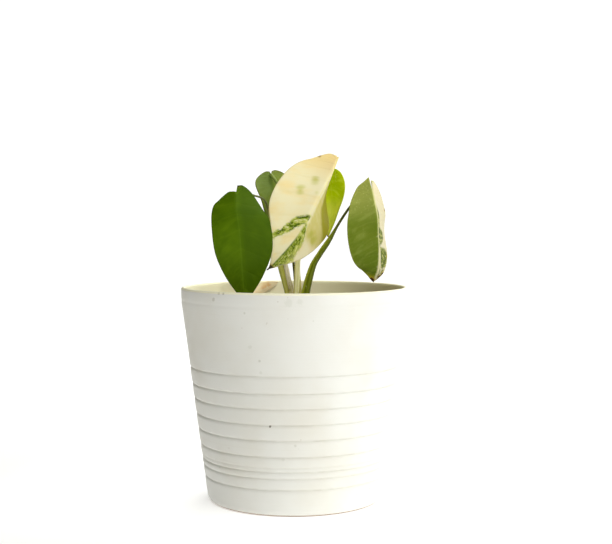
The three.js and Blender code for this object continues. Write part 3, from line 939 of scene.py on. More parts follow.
def soil_height(x, y):
    """Height of the lumpy top of the mix, in mm."""
    place = Vector((x, y, 0.0)) * 0.11
    lumps = noise.noise(place) + noise.noise(place * 2.7) * 0.7 + noise.noise(place * 6.1) * 0.45
    bank = 1.2 * math.exp(-((from_crown(x, y) - CROWN_RADIUS) / 9) ** 2)
    return SOIL_LEVEL + 0.6 + lumps + bank


def mix_finish(soil):
    f = Finish("soil_mix")
    place = f.object_place()
    coarse = f.grain(place, 240.0, 6.0, 0.7)
    fine = f.grain(place, 900.0, 5.0, 0.7)
    colour = f.tinted(soil.mix, rgb(86, 62, 42), coarse, 0.3, 0.72)
    colour = f.tinted(colour, rgb(30, 21, 14), fine, 0.56, 0.74)
    fibres = f.grain(f.stretched(place, (2600.0, 240.0, 240.0), (0.3, 0.2, 0.7)), 1.0, 2.0)
    colour = f.tinted(colour, rgb(120, 92, 60), fibres, 0.66, 0.72, 0.7)
    relief = f.sum(coarse, f.times(fine, 0.6))
    normal = f.bumped(relief, 0.8, 0.0012)
    return f.shade(Base_Color=colour, Roughness=f.ramp(fine, 0.2, 0.8, 0.75, 0.95), Normal=normal)


def bark_finish(soil):
    f = Finish("bark_chips")
    place = f.object_place()
    tone = f.grain(place, 60.0, 2.0)
    colour = f.tinted(soil.bark, rgb(66, 40, 26), tone, 0.35, 0.65)
    strips = f.streaky(place, (500.0, 120.0, 900.0), 4.0, 0.6)
    colour = f.tinted(colour, rgb(158, 108, 68), strips, 0.5, 0.75, 0.8)
    normal = f.bumped(strips, 0.7, 0.0007)
    return f.shade(Base_Color=colour, Roughness=f.ramp(strips, 0.2, 0.8, 0.7, 0.9), Normal=normal)


def perlite_finish(soil):
    f = Finish("perlite")
    place = f.object_place()
    pores = f.grain(place, 1500.0, 4.0, 0.7)
    colour = f.tinted(rgb(176, 168, 150), soil.perlite, pores, 0.35, 0.6)
    normal = f.bumped(pores, 0.6, 0.0005)
    return f.shade(Base_Color=colour, Roughness=f.ramp(pores, 0.2, 0.8, 0.8, 0.95), Normal=normal)


def shaped_lump(name, size, uneven, seed):
    """One loose lump: a subdivided cube, rounded and made uneven."""
    clear_selection()
    bpy.ops.mesh.primitive_cube_add(size=2, location=(0, 0, 0))
    lump = named(name)
    bpy.ops.object.mode_set(mode="EDIT")
    bpy.ops.mesh.select_all(action="SELECT")
    bpy.ops.mesh.subdivide(number_cuts=1, smoothness=0.35)
    bpy.ops.object.mode_set(mode="OBJECT")
    for vertex in lump.data.vertices:
        wobble = noise.noise_vector(vertex.co * 1.3 + Vector((seed, seed * 1.7, seed * 0.6)))
        co = vertex.co + wobble * uneven
        vertex.co = Vector((co.x * size[0], co.y * size[1], co.z * size[2])) * MM
    return lump


def scattered(name, kinds, count, draw, size_range, sink):
    """Copies of the lumps spread over the mix clear of the crown and stalks, joined in one mesh."""
    copies = []
    for _ in range(count):
        kind = kinds[int(draw.random() * len(kinds))]
        size = size_range[0] + (size_range[1] - size_range[0]) * draw.random() ** 2
        for _ in range(TRIES):
            radius = (inner_radius(SOIL_LEVEL) - 1.2 - size * 4.2) * math.sqrt(draw.random())
            turn = 2 * math.pi * draw.random()
            x, y = radius * math.cos(turn), radius * math.sin(turn)
            crowded = from_crown(x, y) < CROWN_RADIUS + 1.0 + size * 3.0
            near_leaf = math.hypot(x - DRIED_FOOT[0], y - DRIED_FOOT[1]) < DRIED_CLEAR
            if not crowded and not near_leaf:
                break
        copy = kind.copy()
        copy.data = kind.data.copy()
        bpy.context.scene.collection.objects.link(copy)
        copy.location = Vector((x, y, soil_height(x, y) + sink * size)) * MM
        copy.rotation_euler = (draw.uniform(-0.5, 0.5), draw.uniform(-0.5, 0.5), draw.uniform(0, 6.28))
        copy.scale = (size, size * draw.uniform(0.6, 1.0), size * draw.uniform(0.7, 1.1))
        copies.append(copy)
    clear_selection()
    for copy in copies:
        copy.select_set(True)
    bpy.context.view_layer.objects.active = copies[0]
    bpy.ops.object.transform_apply(location=True, rotation=True, scale=True)
    bpy.ops.object.join()
    return named(name)


class MONSTERA_OT_soil(Operator):
    """Potting mix with bark chips and perlite grains"""

    bl_idname = "monstera.soil"
    bl_label = "Potting mix"

    def execute(self, context):
        soil = context.scene.monstera_soil
        noise.seed_set(NOISE_SEED)
        edge = inner_radius(SOIL_LEVEL) - 0.25
        profile = [(8.0, 6.0), (30.0, 6.0), (46.0, 6.2), (49.6, 8.2), (50.8, 12.0)]
        profile += [(inner_radius(height) - 0.4, height) for height in (30, 60, 90, 105, 109)]
        profile += [(edge, SOIL_LEVEL - 0.6), (edge - 0.6, SOIL_LEVEL)]
        rings = 52
        inward = (edge - 2.2) / rings
        profile += [(edge - 0.6 - inward * step, SOIL_LEVEL) for step in range(1, rings + 1)]
        piece = turned_body("soil_mix", profile, 144)
        for vertex in piece.data.vertices:
            x, y, z = vertex.co / MM
            if z > SOIL_LEVEL - 0.5:
                share = eased(0.0, 3.0, edge - math.hypot(x, y))
                vertex.co.z = (SOIL_LEVEL + (soil_height(x, y) - SOIL_LEVEL) * share) * MM
        finish_piece(piece, [mix_finish(soil)], "soil")
        draw = random.Random(soil.seed)
        barks = [
            shaped_lump("chip_a", (2.2, 1.3, 0.6), 0.5, 1.3),
            shaped_lump("chip_b", (1.7, 1.5, 0.8), 0.6, 4.1),
            shaped_lump("chip_c", (2.6, 0.9, 0.5), 0.45, 8.7),
        ]
        chips = scattered("bark_chips", barks, soil.chips, draw, (0.7, 1.9), 0.25)
        finish_piece(chips, [bark_finish(soil)], None, angle=35)
        beads = [
            shaped_lump("bead_a", (1.0, 0.9, 0.8), 0.35, 2.2),
            shaped_lump("bead_b", (1.1, 0.8, 0.9), 0.4, 6.4),
        ]
        grains = scattered("perlite_grains", beads, soil.grains, draw, (0.45, 1.25), 0.2)
        finish_piece(grains, [perlite_finish(soil)], None, angle=50)
        for spare in barks + beads:
            bpy.data.objects.remove(spare)
        return {"FINISHED"}


# Crown
def crown_finish():
    f = Finish("crown")
    place = f.object_place()
    height = f.add("SeparateXYZ", Vector=place).outputs["Z"]
    blotch = f.grain(place, 140.0, 4.0)
    colour = f.tinted(rgb(128, 134, 62), rgb(92, 84, 44), blotch, 0.35, 0.7)
    brown = f.ramp(height, 0.1125, 0.116, 0.85, 0.1)
    colour = f.mixed(f.times(brown, f.ramp(blotch, 0.3, 0.6, 0.5, 1.0)), colour, rgb(94, 68, 44))
    rings = f.streaky(place, (120.0, 120.0, 1600.0), 3.0)
    colour = f.tinted(colour, rgb(62, 46, 30), rings, 0.58, 0.7, 0.5)
    return f.shade(Base_Color=colour, Roughness=0.62, Normal=f.bumped(rings, 0.6, 0.0005))


class MONSTERA_OT_crown(Operator):
    """Short stem with its leaf scars, that the leafstalks rise from"""

    bl_idname = "monstera.crown"
    bl_label = "Crown"

    def execute(self, context):
        profile = [(2.3, 97.0), (4.9, 97.0), (7.0, 100.0), (8.2, 106.0), (7.7, 107.4), (8.0, 109.4)]
        profile += [(8.7, 111.6), (8.2, 112.2), (8.3, 113.2), (8.7, 114.4), (8.1, 114.9), (8.0, 115.6)]
        profile += [(7.4, 116.2), (6.0, 117.0), (3.9, 117.5), (1.7, 117.8)]
        piece = turned_body("crown", profile, 64)
        for vertex in piece.data.vertices:
            outward = Vector((vertex.co.x, vertex.co.y, 0)).normalized()
            vertex.co += outward * noise.noise(vertex.co * UNEVENNESS) * 0.35 * MM
            vertex.co += Vector((*CROWN_CENTRE, 0)) * MM
        finish_piece(piece, [crown_finish()], "crown")
        return {"FINISHED"}


# Leafstalks
def stalk_frames(route, steps):
    """Points, headings and a side direction carried along a route without twisting."""
    frames = []
    side = None
    for step in range(steps + 1):
        share = step / steps
        heading = route.heading(share)
        if side is None:
            side = Vector((1, 0, 0))
        side = (side - heading * side.dot(heading)).normalized()
        frames.append((route.point(share), heading, side, heading.cross(side)))
    return frames


def stalk_radius(form, share, sheath):
    """Radius of a leafstalk in mm: sheathed below, slim above, with the knee under the blade."""
    radius = between(form.radii, share)
    knee = 0.24 * math.exp(-((share - 0.945) / 0.03) ** 2)
    step = 0.08 * math.exp(-((share - sheath) / 0.012) ** 2)
    return radius * (1 + knee + step)


def channel_shape(turn, opening, depth):
    """How the round section is drawn in along the sheath's channel and stands out at its two edges."""
    away = abs((turn - opening + math.pi) % (2 * math.pi) - math.pi)
    edge = math.exp(-(((away - CHANNEL_EDGE) / CHANNEL_EDGE_WIDTH) ** 2))
    return 1 - depth * math.exp(-((away / CHANNEL_WIDTH) ** 2)) + 0.16 * depth / CHANNEL_DEPTH * edge


def stalk_piece(stalks, name, form, opening, sheath):
    """A leafstalk laid round its route, closed at both ends."""
    route = Route(form.stalk)
    frames = stalk_frames(route, stalks.steps)
    deep = stalks.channel

    def lay(u, v):
        point, heading, side, across = frames[round(v * stalks.steps)]
        turn = 2 * math.pi * u
        fading = 1 - eased(sheath - 0.06, sheath + 0.03, v)
        shape = channel_shape(turn, opening, deep * fading)
        radius = stalk_radius(form, v, sheath) * shape
        ripple = 1 + 0.012 * math.sin(6 * turn + 9 * v)
        end = 0.35 if v == 1 else 0.0
        return point + heading * end + (side * math.cos(turn) + across * math.sin(turn)) * radius * ripple

    piece = laid_grid(name, stalks.sides, stalks.steps, lay)
    tidy_mesh(piece, close=True, outward=True)
    return piece


def stalk_finish(name, body, lit_edge, dark_edge, top, streak, base):
    """Leafstalk skin: lengthwise streaks, a lit and a dark side, a duller foot and its own top colour."""
    f = Finish(name)
    where = f.leaf_place()
    parts = f.add("SeparateXYZ", Vector=where)
    around, along = parts.outputs["X"], parts.outputs["Y"]
    fibres = f.streaky(where, (26.0, 2.2, 1.0), 3.0)
    flecks = f.streaky(f.object_place(), (900.0, 900.0, 260.0), 2.0)
    colour = f.tinted(body, streak, fibres, 0.35, 0.68)
    left = f.absolute(f.minus(around, 0.5))
    colour = f.mixed(f.ramp(left, 0.06, 0.2, 0.75, 0.0), colour, lit_edge)
    right = f.absolute(f.minus(left, 0.5))
    colour = f.mixed(f.ramp(right, 0.08, 0.22, 0.7, 0.0), colour, dark_edge)
    colour = f.tinted(colour, top, along, 0.52, 0.72, 0.9)
    colour = f.mixed(f.ramp(along, 0.0, 0.09, 0.8, 0.0), colour, base)
    colour = f.tinted(colour, rgb(232, 226, 180), flecks, 0.66, 0.74, 0.3)
    relief = f.sum(fibres, f.times(flecks, 0.3))
    rough = f.ramp(fibres, 0.2, 0.8, 0.36, 0.5)
    normal = f.bumped(relief, 0.3, 0.0002)
    return f.shade(Base_Color=colour, Roughness=rough, Normal=normal, Specular_IOR_Level=0.25)


# Slot, bearing and reach of the sheath's channel, and tones: lit edge, dark edge, top, streaks, base
STALK_LOOKS = {
    "left": ("leafstalk", 4.4, 0.6, [
        (128, 138, 24), (240, 238, 160), (56, 68, 16), (244, 242, 150), (216, 206, 120)]),
    # The back left leafstalk's top is painted lighter than its body: painted light where it stands in shade,
    # near the tone of its blade.
    "back_left": ("leafstalk", 1.6, 0.4, [
        (66, 66, 12), (98, 100, 26), (128, 146, 66), (70, 70, 14), (96, 84, 44)]),
    "centre": ("leafstalk_pale", 4.7, 0.55, [
        (246, 240, 140), (255, 252, 200), (250, 246, 180), (255, 252, 210), (255, 250, 184)]),
    "back_right": ("leafstalk_pale", 1.2, 0.5, [
        (166, 150, 76), (220, 212, 144), (166, 178, 66), (222, 212, 150), (166, 140, 90)]),
    "right": ("leafstalk", 4.2, 0.55, [
        (176, 184, 56), (78, 84, 0), (62, 64, 6), (98, 112, 2), (204, 196, 60)]),
}


class MONSTERA_OT_leafstalks(Operator):
    """The five leafstalks, each with its sheath's channel and the knee under its blade"""

    bl_idname = "monstera.leafstalks"
    bl_label = "Leafstalks"

    def execute(self, context):
        stalks = context.scene.monstera_stalks
        for leaf, (slot, opening, sheath, tones) in STALK_LOOKS.items():
            piece = stalk_piece(stalks, f"stalk_{leaf}", LEAVES[leaf], opening, sheath)
            body = tuple(getattr(stalks, leaf))
            material = stalk_finish(f"stalk_{leaf}", body, *(rgb(*tone) for tone in tones))
            finish_piece(piece, [material], f"leafstalk_{leaf}")
        return {"FINISHED"}


# Blades
SIDE_VEINS = 11


def vein_depth(row, share, across):
    """How far the blade sinks towards a side vein: 1 on it and 0 between two."""
    away = abs((row * SIDE_VEINS + 0.35 * share) % 1.0 - 0.5) * 2
    return away**6 * eased(0.0, 1.5, across) * (1 - eased(0.9, 1.0, share))


def blade_marks(leaf, rib_length, length, across, margin):
    """The numbers that a blade's colours need at a flat place, in the order of BLADE_NUMBERS."""
    inside = [inside_by(outline, length, across) for outline in SECTORS.get(leaf, ())]
    spots = []
    for table in (BLOTCHES, SCORCHES):
        near = [size - math.hypot(length - a, across - b) for a, b, size in table.get(leaf, ())]
        spots.append(max(near, default=NO_MARK))
    wash = wash_and_shade_level(WASHES_AND_SHADE[leaf], length, across) if leaf in WASHES_AND_SHADE else 0.0
    return (max(inside, default=NO_MARK), *spots, length / rib_length, across, margin, wash)


BLADE_NUMBERS = ("sector", "blotch", "scorch", "along", "across", "margin", "wash")


def blade_piece(leaves, name, form, finishes, **more):
    """A blade laid on its surface, with the numbers its colours need, and then given its thickness."""
    surface = LeafSurface(form)
    rows = more.get("rows", leaves.rows)
    columns = 2 * more.get("columns", leaves.columns)
    thickness = more.get("thickness", leaves.thickness)
    lift = (0.7 * MM - thickness) / 2 / MM
    leaf = name.replace("leaf_", "")
    marks = {}

    def lay(u, v):
        half = 1 if u > 0.5 else 0
        share = abs(2 * u - 1) ** 0.8
        point, normal, length, across = surface.at(v, share, half)
        sink = leaves.groove / MM * math.exp(-((across / 0.7) ** 2)) * (1 - eased(0.93, 1.0, v))
        sink += leaves.quilting / MM * vein_depth(v, share, abs(across))
        width = form.half[half] * max(smooth_through(surface.outlines[half], v).y, 0)
        marks[(u, v)] = blade_marks(leaf, surface.rib.length, length, across, width * (1 - share))
        return point + normal * (lift - sink)

    piece = laid_grid(name, columns, rows, lay)
    flat = []
    for index in range(len(piece.data.vertices)):
        row, column = divmod(index, columns + 1)
        flat.append(marks[(column / columns, row / rows)])
    write_attributes(piece, BLADE_NUMBERS, flat)
    tidy_mesh(piece, apart=0.00002, flip=True)
    for finish in finishes:
        piece.data.materials.append(finish)
    faces = dict(use_even_offset=False, material_offset=1, material_offset_rim=0)
    add_applied(piece, "SOLIDIFY", thickness=thickness, offset=1.0, **faces)
    return piece


class BladeLook:
    """Colours and strengths of one face of a blade."""

    rib_shares = (0.6, 0.6, 0.6)
    rib_width = 0.6
    cream = None
    wash = None
    fade = 0.55
    margin_width = 0.5
    speckle = 0.0
    veil = 0.25
    vein = 0.15
    glow = 0.3
    rough = 0.42
    gloss = 0.25
    under = False
    halo = 0.6
    tints = ()

    def __init__(self, green, deep, light, rib, **more):
        self.green = green
        self.deep = deep
        self.light = light
        self.rib = rib
        self.rib_low = rib
        self.marbled = (deep, green, light)
        self.margin = light
        self.glow_tint = light
        for key, value in more.items():
            setattr(self, key, value)


def blade_finish(name, look):
    """A leaf's skin: green mosaic with veins, cream sectors, a thin margin, dead spots, and listed tints,
    some of them painted shade and painted light.
    """
    f = Finish(name)
    where = f.leaf_place()
    place = f.object_place()
    parts = f.add("SeparateXYZ", Vector=where)
    row = parts.outputs["Y"]
    along = f.attribute("along")
    aside = f.absolute(f.attribute("across"))
    share = f.absolute(f.minus(f.times(parts.outputs["X"], 2.0), 1.0))
    streaks = f.streaky(where, (5.0, 110.0, 1.0), 3.0, 0.6)
    fine = f.grain(place, 900.0, 3.0, 0.6)
    clouds = f.grain(place, 70.0, 3.0)
    phase = f.sum(f.times(row, float(SIDE_VEINS)), f.times(share, 0.35))
    phase = f.sum(phase, f.times(f.grain(place, 90.0, 2.0), 0.12))
    away = f.absolute(f.minus(f.calc("FRACT", phase), 0.5))
    side_vein = f.times(f.ramp(away, 0.4, 0.5), f.ramp(share, 0.6, 0.95, 1.0, 0.0))
    veil = f.streaky(where, (2.6, 24.0, 1.0), 2.0, 0.5, 0.3)
    green = f.tinted(look.green, look.deep, clouds, 0.3, 0.7)
    green = f.tinted(green, look.light, veil, 0.48, 0.72, look.veil)
    green = f.tinted(green, look.light, streaks, 0.5, 0.8, look.veil * 0.6)
    green = f.mixed(f.times(side_vein, look.vein), green, look.light)
    if look.speckle:
        dots = f.ramp(f.streaky(place, (900.0, 900.0, 520.0), 2.0), 0.58, 0.68)
        upper = f.ramp(along, 0.02, 0.3, look.speckle, look.speckle * 0.08)
        green = f.mixed(f.times(dots, upper), green, rgb(206, 208, 130))
    # Listed tints by one of the blade's numbers; some are painted shade or painted light on one half of a
    # blade.
    for where_to, start, end, strength, tint in look.tints:
        green = f.tinted(green, tint, f.attribute(where_to), start, end, strength)
    colour = green
    if look.cream:
        mosaic = f.streaky(where, (9.0, 64.0, 1.0), 4.0, 0.6, 0.3)
        flecks = f.streaky(where, (34.0, 150.0, 1.0), 3.0, 0.6)
        warm = f.ramp(f.streaky(where, (3.0, 16.0, 1.0), 3.0), 0.42, 0.72)
        base_warm = f.ramp(along, 0.0, 0.26, 0.9, 0.0)
        cream = f.mixed(f.calc("MAXIMUM", f.times(warm, 0.7), base_warm), look.cream, look.warm)
        cream = f.tinted(cream, rgb(250, 244, 214), streaks, 0.5, 0.85, 0.35)
        cream = f.mixed(f.times(side_vein, 0.1), cream, rgb(222, 214, 150))
        # The wash: painted shade with light let through, over the cream right of the midrib, partly the
        # blade's own tone.
        if look.wash:
            level = f.attribute("wash")
            mottled = f.sum(level, f.times(f.minus(mosaic, 0.5), 0.5))
            cream = f.tinted(cream, look.wash[0], mottled, 0.0, 0.5, 0.75)
            cream = f.tinted(cream, look.wash[1], mottled, 0.45, 1.0, 0.9)
        blotch = f.sum(f.attribute("blotch"), f.times(f.minus(veil, 0.5), 7.0))
        cream = f.tinted(cream, rgb(204, 206, 78), blotch, -2.0, 1.6, 0.6)
        dark, middle, pale = look.marbled
        patch = f.tinted(dark, middle, mosaic, 0.4, 0.52)
        patch = f.tinted(patch, pale, mosaic, 0.5, 0.6, 0.85)
        patch = f.tinted(patch, pale, flecks, 0.52, 0.64, 0.7)
        patch = f.tinted(patch, look.cream, mosaic, 0.6, 0.68, 0.8)
        patch = f.tinted(patch, pale, f.attribute("across"), 2.2, 6.4, look.fade)
        if look.speckle:
            patch = f.mixed(f.ramp(f.attribute("across"), -0.4, 0.2, 1.0, 0.0), patch, green)
        ragged = f.times(f.minus(mosaic, 0.5), f.ramp(aside, 0.2, 2.5, 0.6, 6.0))
        edge = f.sum(f.attribute("sector"), ragged)
        colour = f.tinted(cream, patch, edge, -0.7, 0.5)
    high = f.ramp(along, 0.2, 0.42, look.rib_shares[0], look.rib_shares[1])
    low = f.ramp(along, 0.55, 0.75)
    strength = f.sum(f.times(high, f.minus(1.0, low)), f.times(low, look.rib_shares[2]))
    rib = f.mixed(low, look.rib, look.rib_low)
    on_rib = f.ramp(aside, look.rib_width * 0.4, look.rib_width, 1.0, 0.0)
    colour = f.mixed(f.times(on_rib, strength), colour, rib)
    rim = f.ramp(f.attribute("margin"), look.margin_width * 0.3, look.margin_width, 0.6, 0.0)
    colour = f.mixed(rim, colour, look.margin)
    dead = f.sum(f.attribute("scorch"), f.times(f.minus(fine, 0.5), 1.6))
    halo = f.ramp(dead, -1.3, -0.2, 0.0, look.halo)
    colour = f.mixed(halo, colour, rgb(186, 156, 48))
    colour = f.tinted(colour, look.scorch, dead, -0.35, 0.25)
    relief = f.times(fine, 0.35)
    relief = f.sum(relief, f.times(streaks, 0.5))
    relief = f.sum(relief, f.times(side_vein, 0.9 if look.under else -0.7))
    normal = f.bumped(relief, 0.3, 0.0003)
    rough = f.ramp(streaks, 0.2, 0.8, look.rough - 0.04, look.rough + 0.08)
    through = f.mixed(0.5, colour, look.glow_tint, "MULTIPLY")
    return f.shade(
        through=through, share=look.glow, Base_Color=colour, Roughness=rough, Normal=normal, IOR=1.42,
        Specular_IOR_Level=look.gloss,
    )


def blade_looks(leaves):
    """The upper and under face of each blade."""
    green = tuple(leaves.green)
    deep = tuple(leaves.green_deep)
    cream = tuple(leaves.cream)
    warm = tuple(leaves.cream_warm)
    lime = tuple(leaves.lime)
    under = tuple(leaves.underside)
    dead = tuple(leaves.dead)
    pale_rib = rgb(196, 204, 128)
    brown = rgb(84, 84, 44)
    cream_rib = dict(rib_low=rgb(96, 124, 30), rib_shares=(0.6, 0.2, 0.6), rib_width=0.55)
    # Tones of the wash on the cream blade, upper and under face: painted shade, partly its own tone.
    wash = (rgb(222, 214, 118), rgb(180, 174, 24))
    soft_wash_and_shade = (rgb(226, 220, 140), rgb(196, 200, 96))
    marbled = (rgb(168, 186, 56), rgb(82, 112, 0), rgb(226, 228, 136))

    def face(*tones, **more):
        return BladeLook(*tones, **{"scorch": dead, **more})

    return {
        "left": (
            "leaf_green",
            face(green, deep, rgb(106, 134, 16), rgb(100, 128, 30), veil=0.2, vein=0.1, glow=0.1,
                 rib_shares=(0.1, 0.2, 0.2), rib_width=0.6, glow_tint=rgb(170, 200, 10), rough=0.4,
                 gloss=0.06, margin=rgb(58, 80, 4), scorch=rgb(40, 52, 12), halo=0.1,
                 # Painted shade: the half right of the midrib is painted darker.
                 tints=[("across", -0.8, 4.0, 0.5, rgb(52, 76, 0))]),
            face(under, rgb(76, 106, 46), rgb(120, 146, 84), rgb(160, 178, 104), glow=0.15,
                 glow_tint=rgb(170, 190, 40), rough=0.5, under=True),
        ),
        "back_left": (
            "leaf_underside",
            face(rgb(132, 158, 52), rgb(112, 142, 36), rgb(150, 176, 80), rgb(160, 180, 90),
                 vein=0.2, glow=0.5, glow_tint=rgb(240, 250, 160), rough=0.4, margin=rgb(90, 104, 20)),
            face(under, rgb(132, 152, 56), rgb(166, 184, 112), rgb(150, 170, 84), vein=0.15, glow=0.5,
                 rib_shares=(0.2, 0.2, 0.2), rib_width=0.5, glow_tint=rgb(220, 230, 110), rough=0.5,
                 under=True, margin=rgb(128, 124, 20), margin_width=0.9,
                 # Painted light: the half left of the midrib is lightened where the centre blade shades it.
                 tints=[("across", 0.6, -1.5, 0.35, rgb(228, 234, 120)),
                        ("along", 0.3, 0.7, 0.6, rgb(122, 130, 20))]),
        ),
        "centre": (
            "leaf_cream",
            face(*marbled, rgb(250, 242, 160), cream=cream, warm=warm, wash=wash, glow=0.5, gloss=0.12,
                 glow_tint=rgb(255, 255, 240), rough=0.46, margin=rgb(222, 214, 160), margin_width=0.35,
                 scorch=brown, **cream_rib),
            face(*marbled, rgb(206, 208, 140), cream=cream, warm=warm, wash=soft_wash_and_shade, glow=0.35,
                 glow_tint=rgb(255, 240, 170), rough=0.5, under=True, margin=rgb(198, 190, 120),
                 scorch=brown),
        ),
        "back_right": (
            "leaf_lime",
            # The lime of this blade is painted bright, partly as the light let through it from behind.
            face(rgb(204, 218, 36), rgb(184, 202, 20), rgb(222, 230, 100), pale_rib, glow=0.65,
                 glow_tint=rgb(255, 255, 170), rough=0.44, speckle=0.4),
            face(lime, rgb(180, 192, 6), rgb(226, 230, 130), rgb(206, 214, 90), glow=0.72,
                 rib_shares=(0.3, 0.3, 0.3), glow_tint=rgb(255, 255, 120), rough=0.5, gloss=0.1, under=True,
                 speckle=0.6, veil=0.35, margin=rgb(190, 200, 30),
                 tints=[("along", 0.3, 0.62, 0.85, rgb(230, 226, 164))]),
        ),
        "right": (
            "leaf_half_moon",
            face(rgb(103, 119, 30), rgb(96, 116, 26), rgb(148, 160, 76), rgb(220, 218, 150),
                 # The cream of this upper face is painted darker than on its underside: painted shade
                 # against the strong light on it.
                 cream=rgb(198, 191, 158), warm=rgb(204, 194, 156), glow=0.1, gloss=0.05,
                 marbled=(rgb(42, 64, 0), rgb(70, 90, 2), rgb(160, 162, 76)), fade=0.1,
                 glow_tint=rgb(230, 236, 140), rough=0.46, speckle=0.5, veil=0.35, vein=0.06,
                 rib_shares=(0.6, 0.4, 0.5), margin=rgb(160, 164, 70),
                 tints=[("along", 0.45, 0.0, 0.55, rgb(176, 180, 92)),
                        ("along", 0.9, 0.99, 0.7, rgb(190, 176, 24))]),
            face(rgb(126, 146, 70), rgb(100, 124, 44), rgb(160, 176, 104), rgb(220, 220, 160),
                 cream=rgb(252, 244, 212), warm=rgb(252, 240, 200), glow=0.25,
                 glow_tint=rgb(230, 236, 140), rough=0.52, under=True, speckle=0.4,
                 margin=rgb(200, 186, 140)),
        ),
    }


class MONSTERA_OT_blades(Operator):
    """The five leaf blades with their veins, sectors, blotches and dead spots"""

    bl_idname = "monstera.blades"
    bl_label = "Leaf blades"

    def execute(self, context):
        leaves = context.scene.monstera_leaves
        for leaf, (slot, upper, under) in blade_looks(leaves).items():
            finishes = [blade_finish(f"upper_{leaf}", upper), blade_finish(f"under_{leaf}", under)]
            piece = blade_piece(leaves, f"leaf_{leaf}", LEAVES[leaf], finishes)
            finish_piece(piece, finishes, f"blade_{leaf}")
        return {"FINISHED"}


# Old sheath
def paper_finish(name, pale, brown, dark, foot, through_share, spot=None):
    """Dry plant paper: long fibres, cracks across them, stains towards its foot and a burnt spot."""
    f = Finish(name)
    where = f.leaf_place()
    along = f.add("SeparateXYZ", Vector=where).outputs["Y"]
    fibres = f.streaky(where, (34.0, 3.0, 1.0), 5.0, 0.65)
    stains = f.grain(f.object_place(), 210.0, 4.0, 0.6)
    colour = f.tinted(pale, brown, fibres, 0.35, 0.65)
    low = f.ramp(along, foot - 0.45, foot, 1.0, 0.05)
    colour = f.mixed(f.times(low, f.ramp(stains, 0.35, 0.6, 0.65, 1.0)), colour, dark)
    cracks = f.ramp(f.streaky(where, (12.0, 60.0, 1.0), 3.0), 0.62, 0.68, 0.0, 0.55)
    colour = f.mixed(cracks, colour, dark)
    if spot:
        ragged = f.times(f.minus(stains, 0.5), 5.0)
        colour = f.tinted(colour, spot, f.sum(f.attribute("scorch"), ragged), -1.8, 1.4, 0.7)
    relief = f.sum(fibres, f.times(stains, 0.7))
    rough = f.ramp(fibres, 0.2, 0.8, 0.7, 0.9)
    through = f.mixed(0.5, colour, rgb(255, 220, 150), "MULTIPLY")
    normal = f.bumped(relief, 0.8, 0.0005)
    return f.shade(through, through_share, Base_Color=colour, Roughness=rough, Normal=normal)


class MONSTERA_OT_old_sheath(Operator):
    """The dry, papery sheath of a leaf that is gone, round the left leafstalk"""

    bl_idname = "monstera.old_sheath"
    bl_label = "Old sheath"

    def execute(self, context):
        form = LEAVES["left"]
        route = Route(form.stalk)
        samples = [(route.point(step / 400), step / 400) for step in range(401)]

        def lay(u, v):
            ragged = 1.6 * noise.noise(Vector((u * 9.0, 3.1, 0.0))) * eased(0.8, 1.0, v)
            height = SHEATH_FOOT + SHEATH_HEIGHT * v + ragged
            centre, share = next(sample for sample in samples if sample[0].z >= height)
            radius = between(form.radii, share) + 0.45 + 1.5 * v**1.5
            crease = noise.noise(Vector((u * 6, v * 9, 1.7)))
            radius += 0.18 * math.sin(u * 19.0 + v * 5.0) * v + 0.25 * crease
            spread = 1 - 0.6 * v**2
            bearing = math.radians(SHEATH_ROUND * (0.5 + (u - 0.5) * spread) + SHEATH_START)
            x = centre.x + radius * math.cos(bearing)
            y = centre.y - radius * math.sin(bearing)
            return Vector((x, y, height))

        piece = laid_grid("dry_sheath", 30, 96, lay)
        tidy_mesh(piece)
        add_applied(piece, "SOLIDIFY", thickness=0.35 * MM, offset=0.0)
        tidy_mesh(piece, apart=0.000001, outward=True)
        tones = rgb(255, 250, 230), rgb(246, 233, 202), rgb(150, 138, 62)
        material = paper_finish("dry_sheath", *tones, 0.92, 0.08)
        finish_piece(piece, [material], "old_sheath")
        return {"FINISHED"}


# Dried leaf
class MONSTERA_OT_dried_leaf(Operator):
    """The small dried leaf that leans on the pot's wall"""

    bl_idname = "monstera.dried_leaf"
    bl_label = "Dried leaf"

    def execute(self, context):
        leaves = context.scene.monstera_leaves
        noise.seed_set(NOISE_SEED)
        tones = rgb(255, 244, 210), rgb(255, 230, 172), rgb(250, 196, 110)
        paper = paper_finish("dry_leaf", *tones, 0.6, 0.05, spot=rgb(232, 170, 76))
        piece = blade_piece(
            leaves, "leaf_dried", DRIED_LEAF, [paper, paper], rows=90, columns=14, thickness=0.4 * MM
        )
        for vertex in piece.data.vertices:
            vertex.co += noise.noise_vector(vertex.co * UNEVENNESS) * 0.16 * MM
        finish_piece(piece, [], "dried_leaf")
        return {"FINISHED"}


# Stage
def lamp(name, kind, place, target, power, **settings):
    """A lamp at a place, aimed at a target."""
    light = bpy.data.lights.new(name, kind)
    light.energy = power
    for key, value in settings.items():
        setattr(light, key, value)
    holder = bpy.data.objects.new(name, light)
    bpy.context.scene.collection.objects.link(holder)
    holder.location = place
    holder.rotation_euler = (Vector(target) - Vector(place)).to_track_quat("-Z", "Y").to_euler()
    return holder


def area_lamp(name, place, target, size, power, tint=(1.0, 1.0, 1.0)):
    """A rectangular lamp of the given width and height."""
    width, height = size
    return lamp(name, "AREA", place, target, power, shape="RECTANGLE", size=width, size_y=height, color=tint)


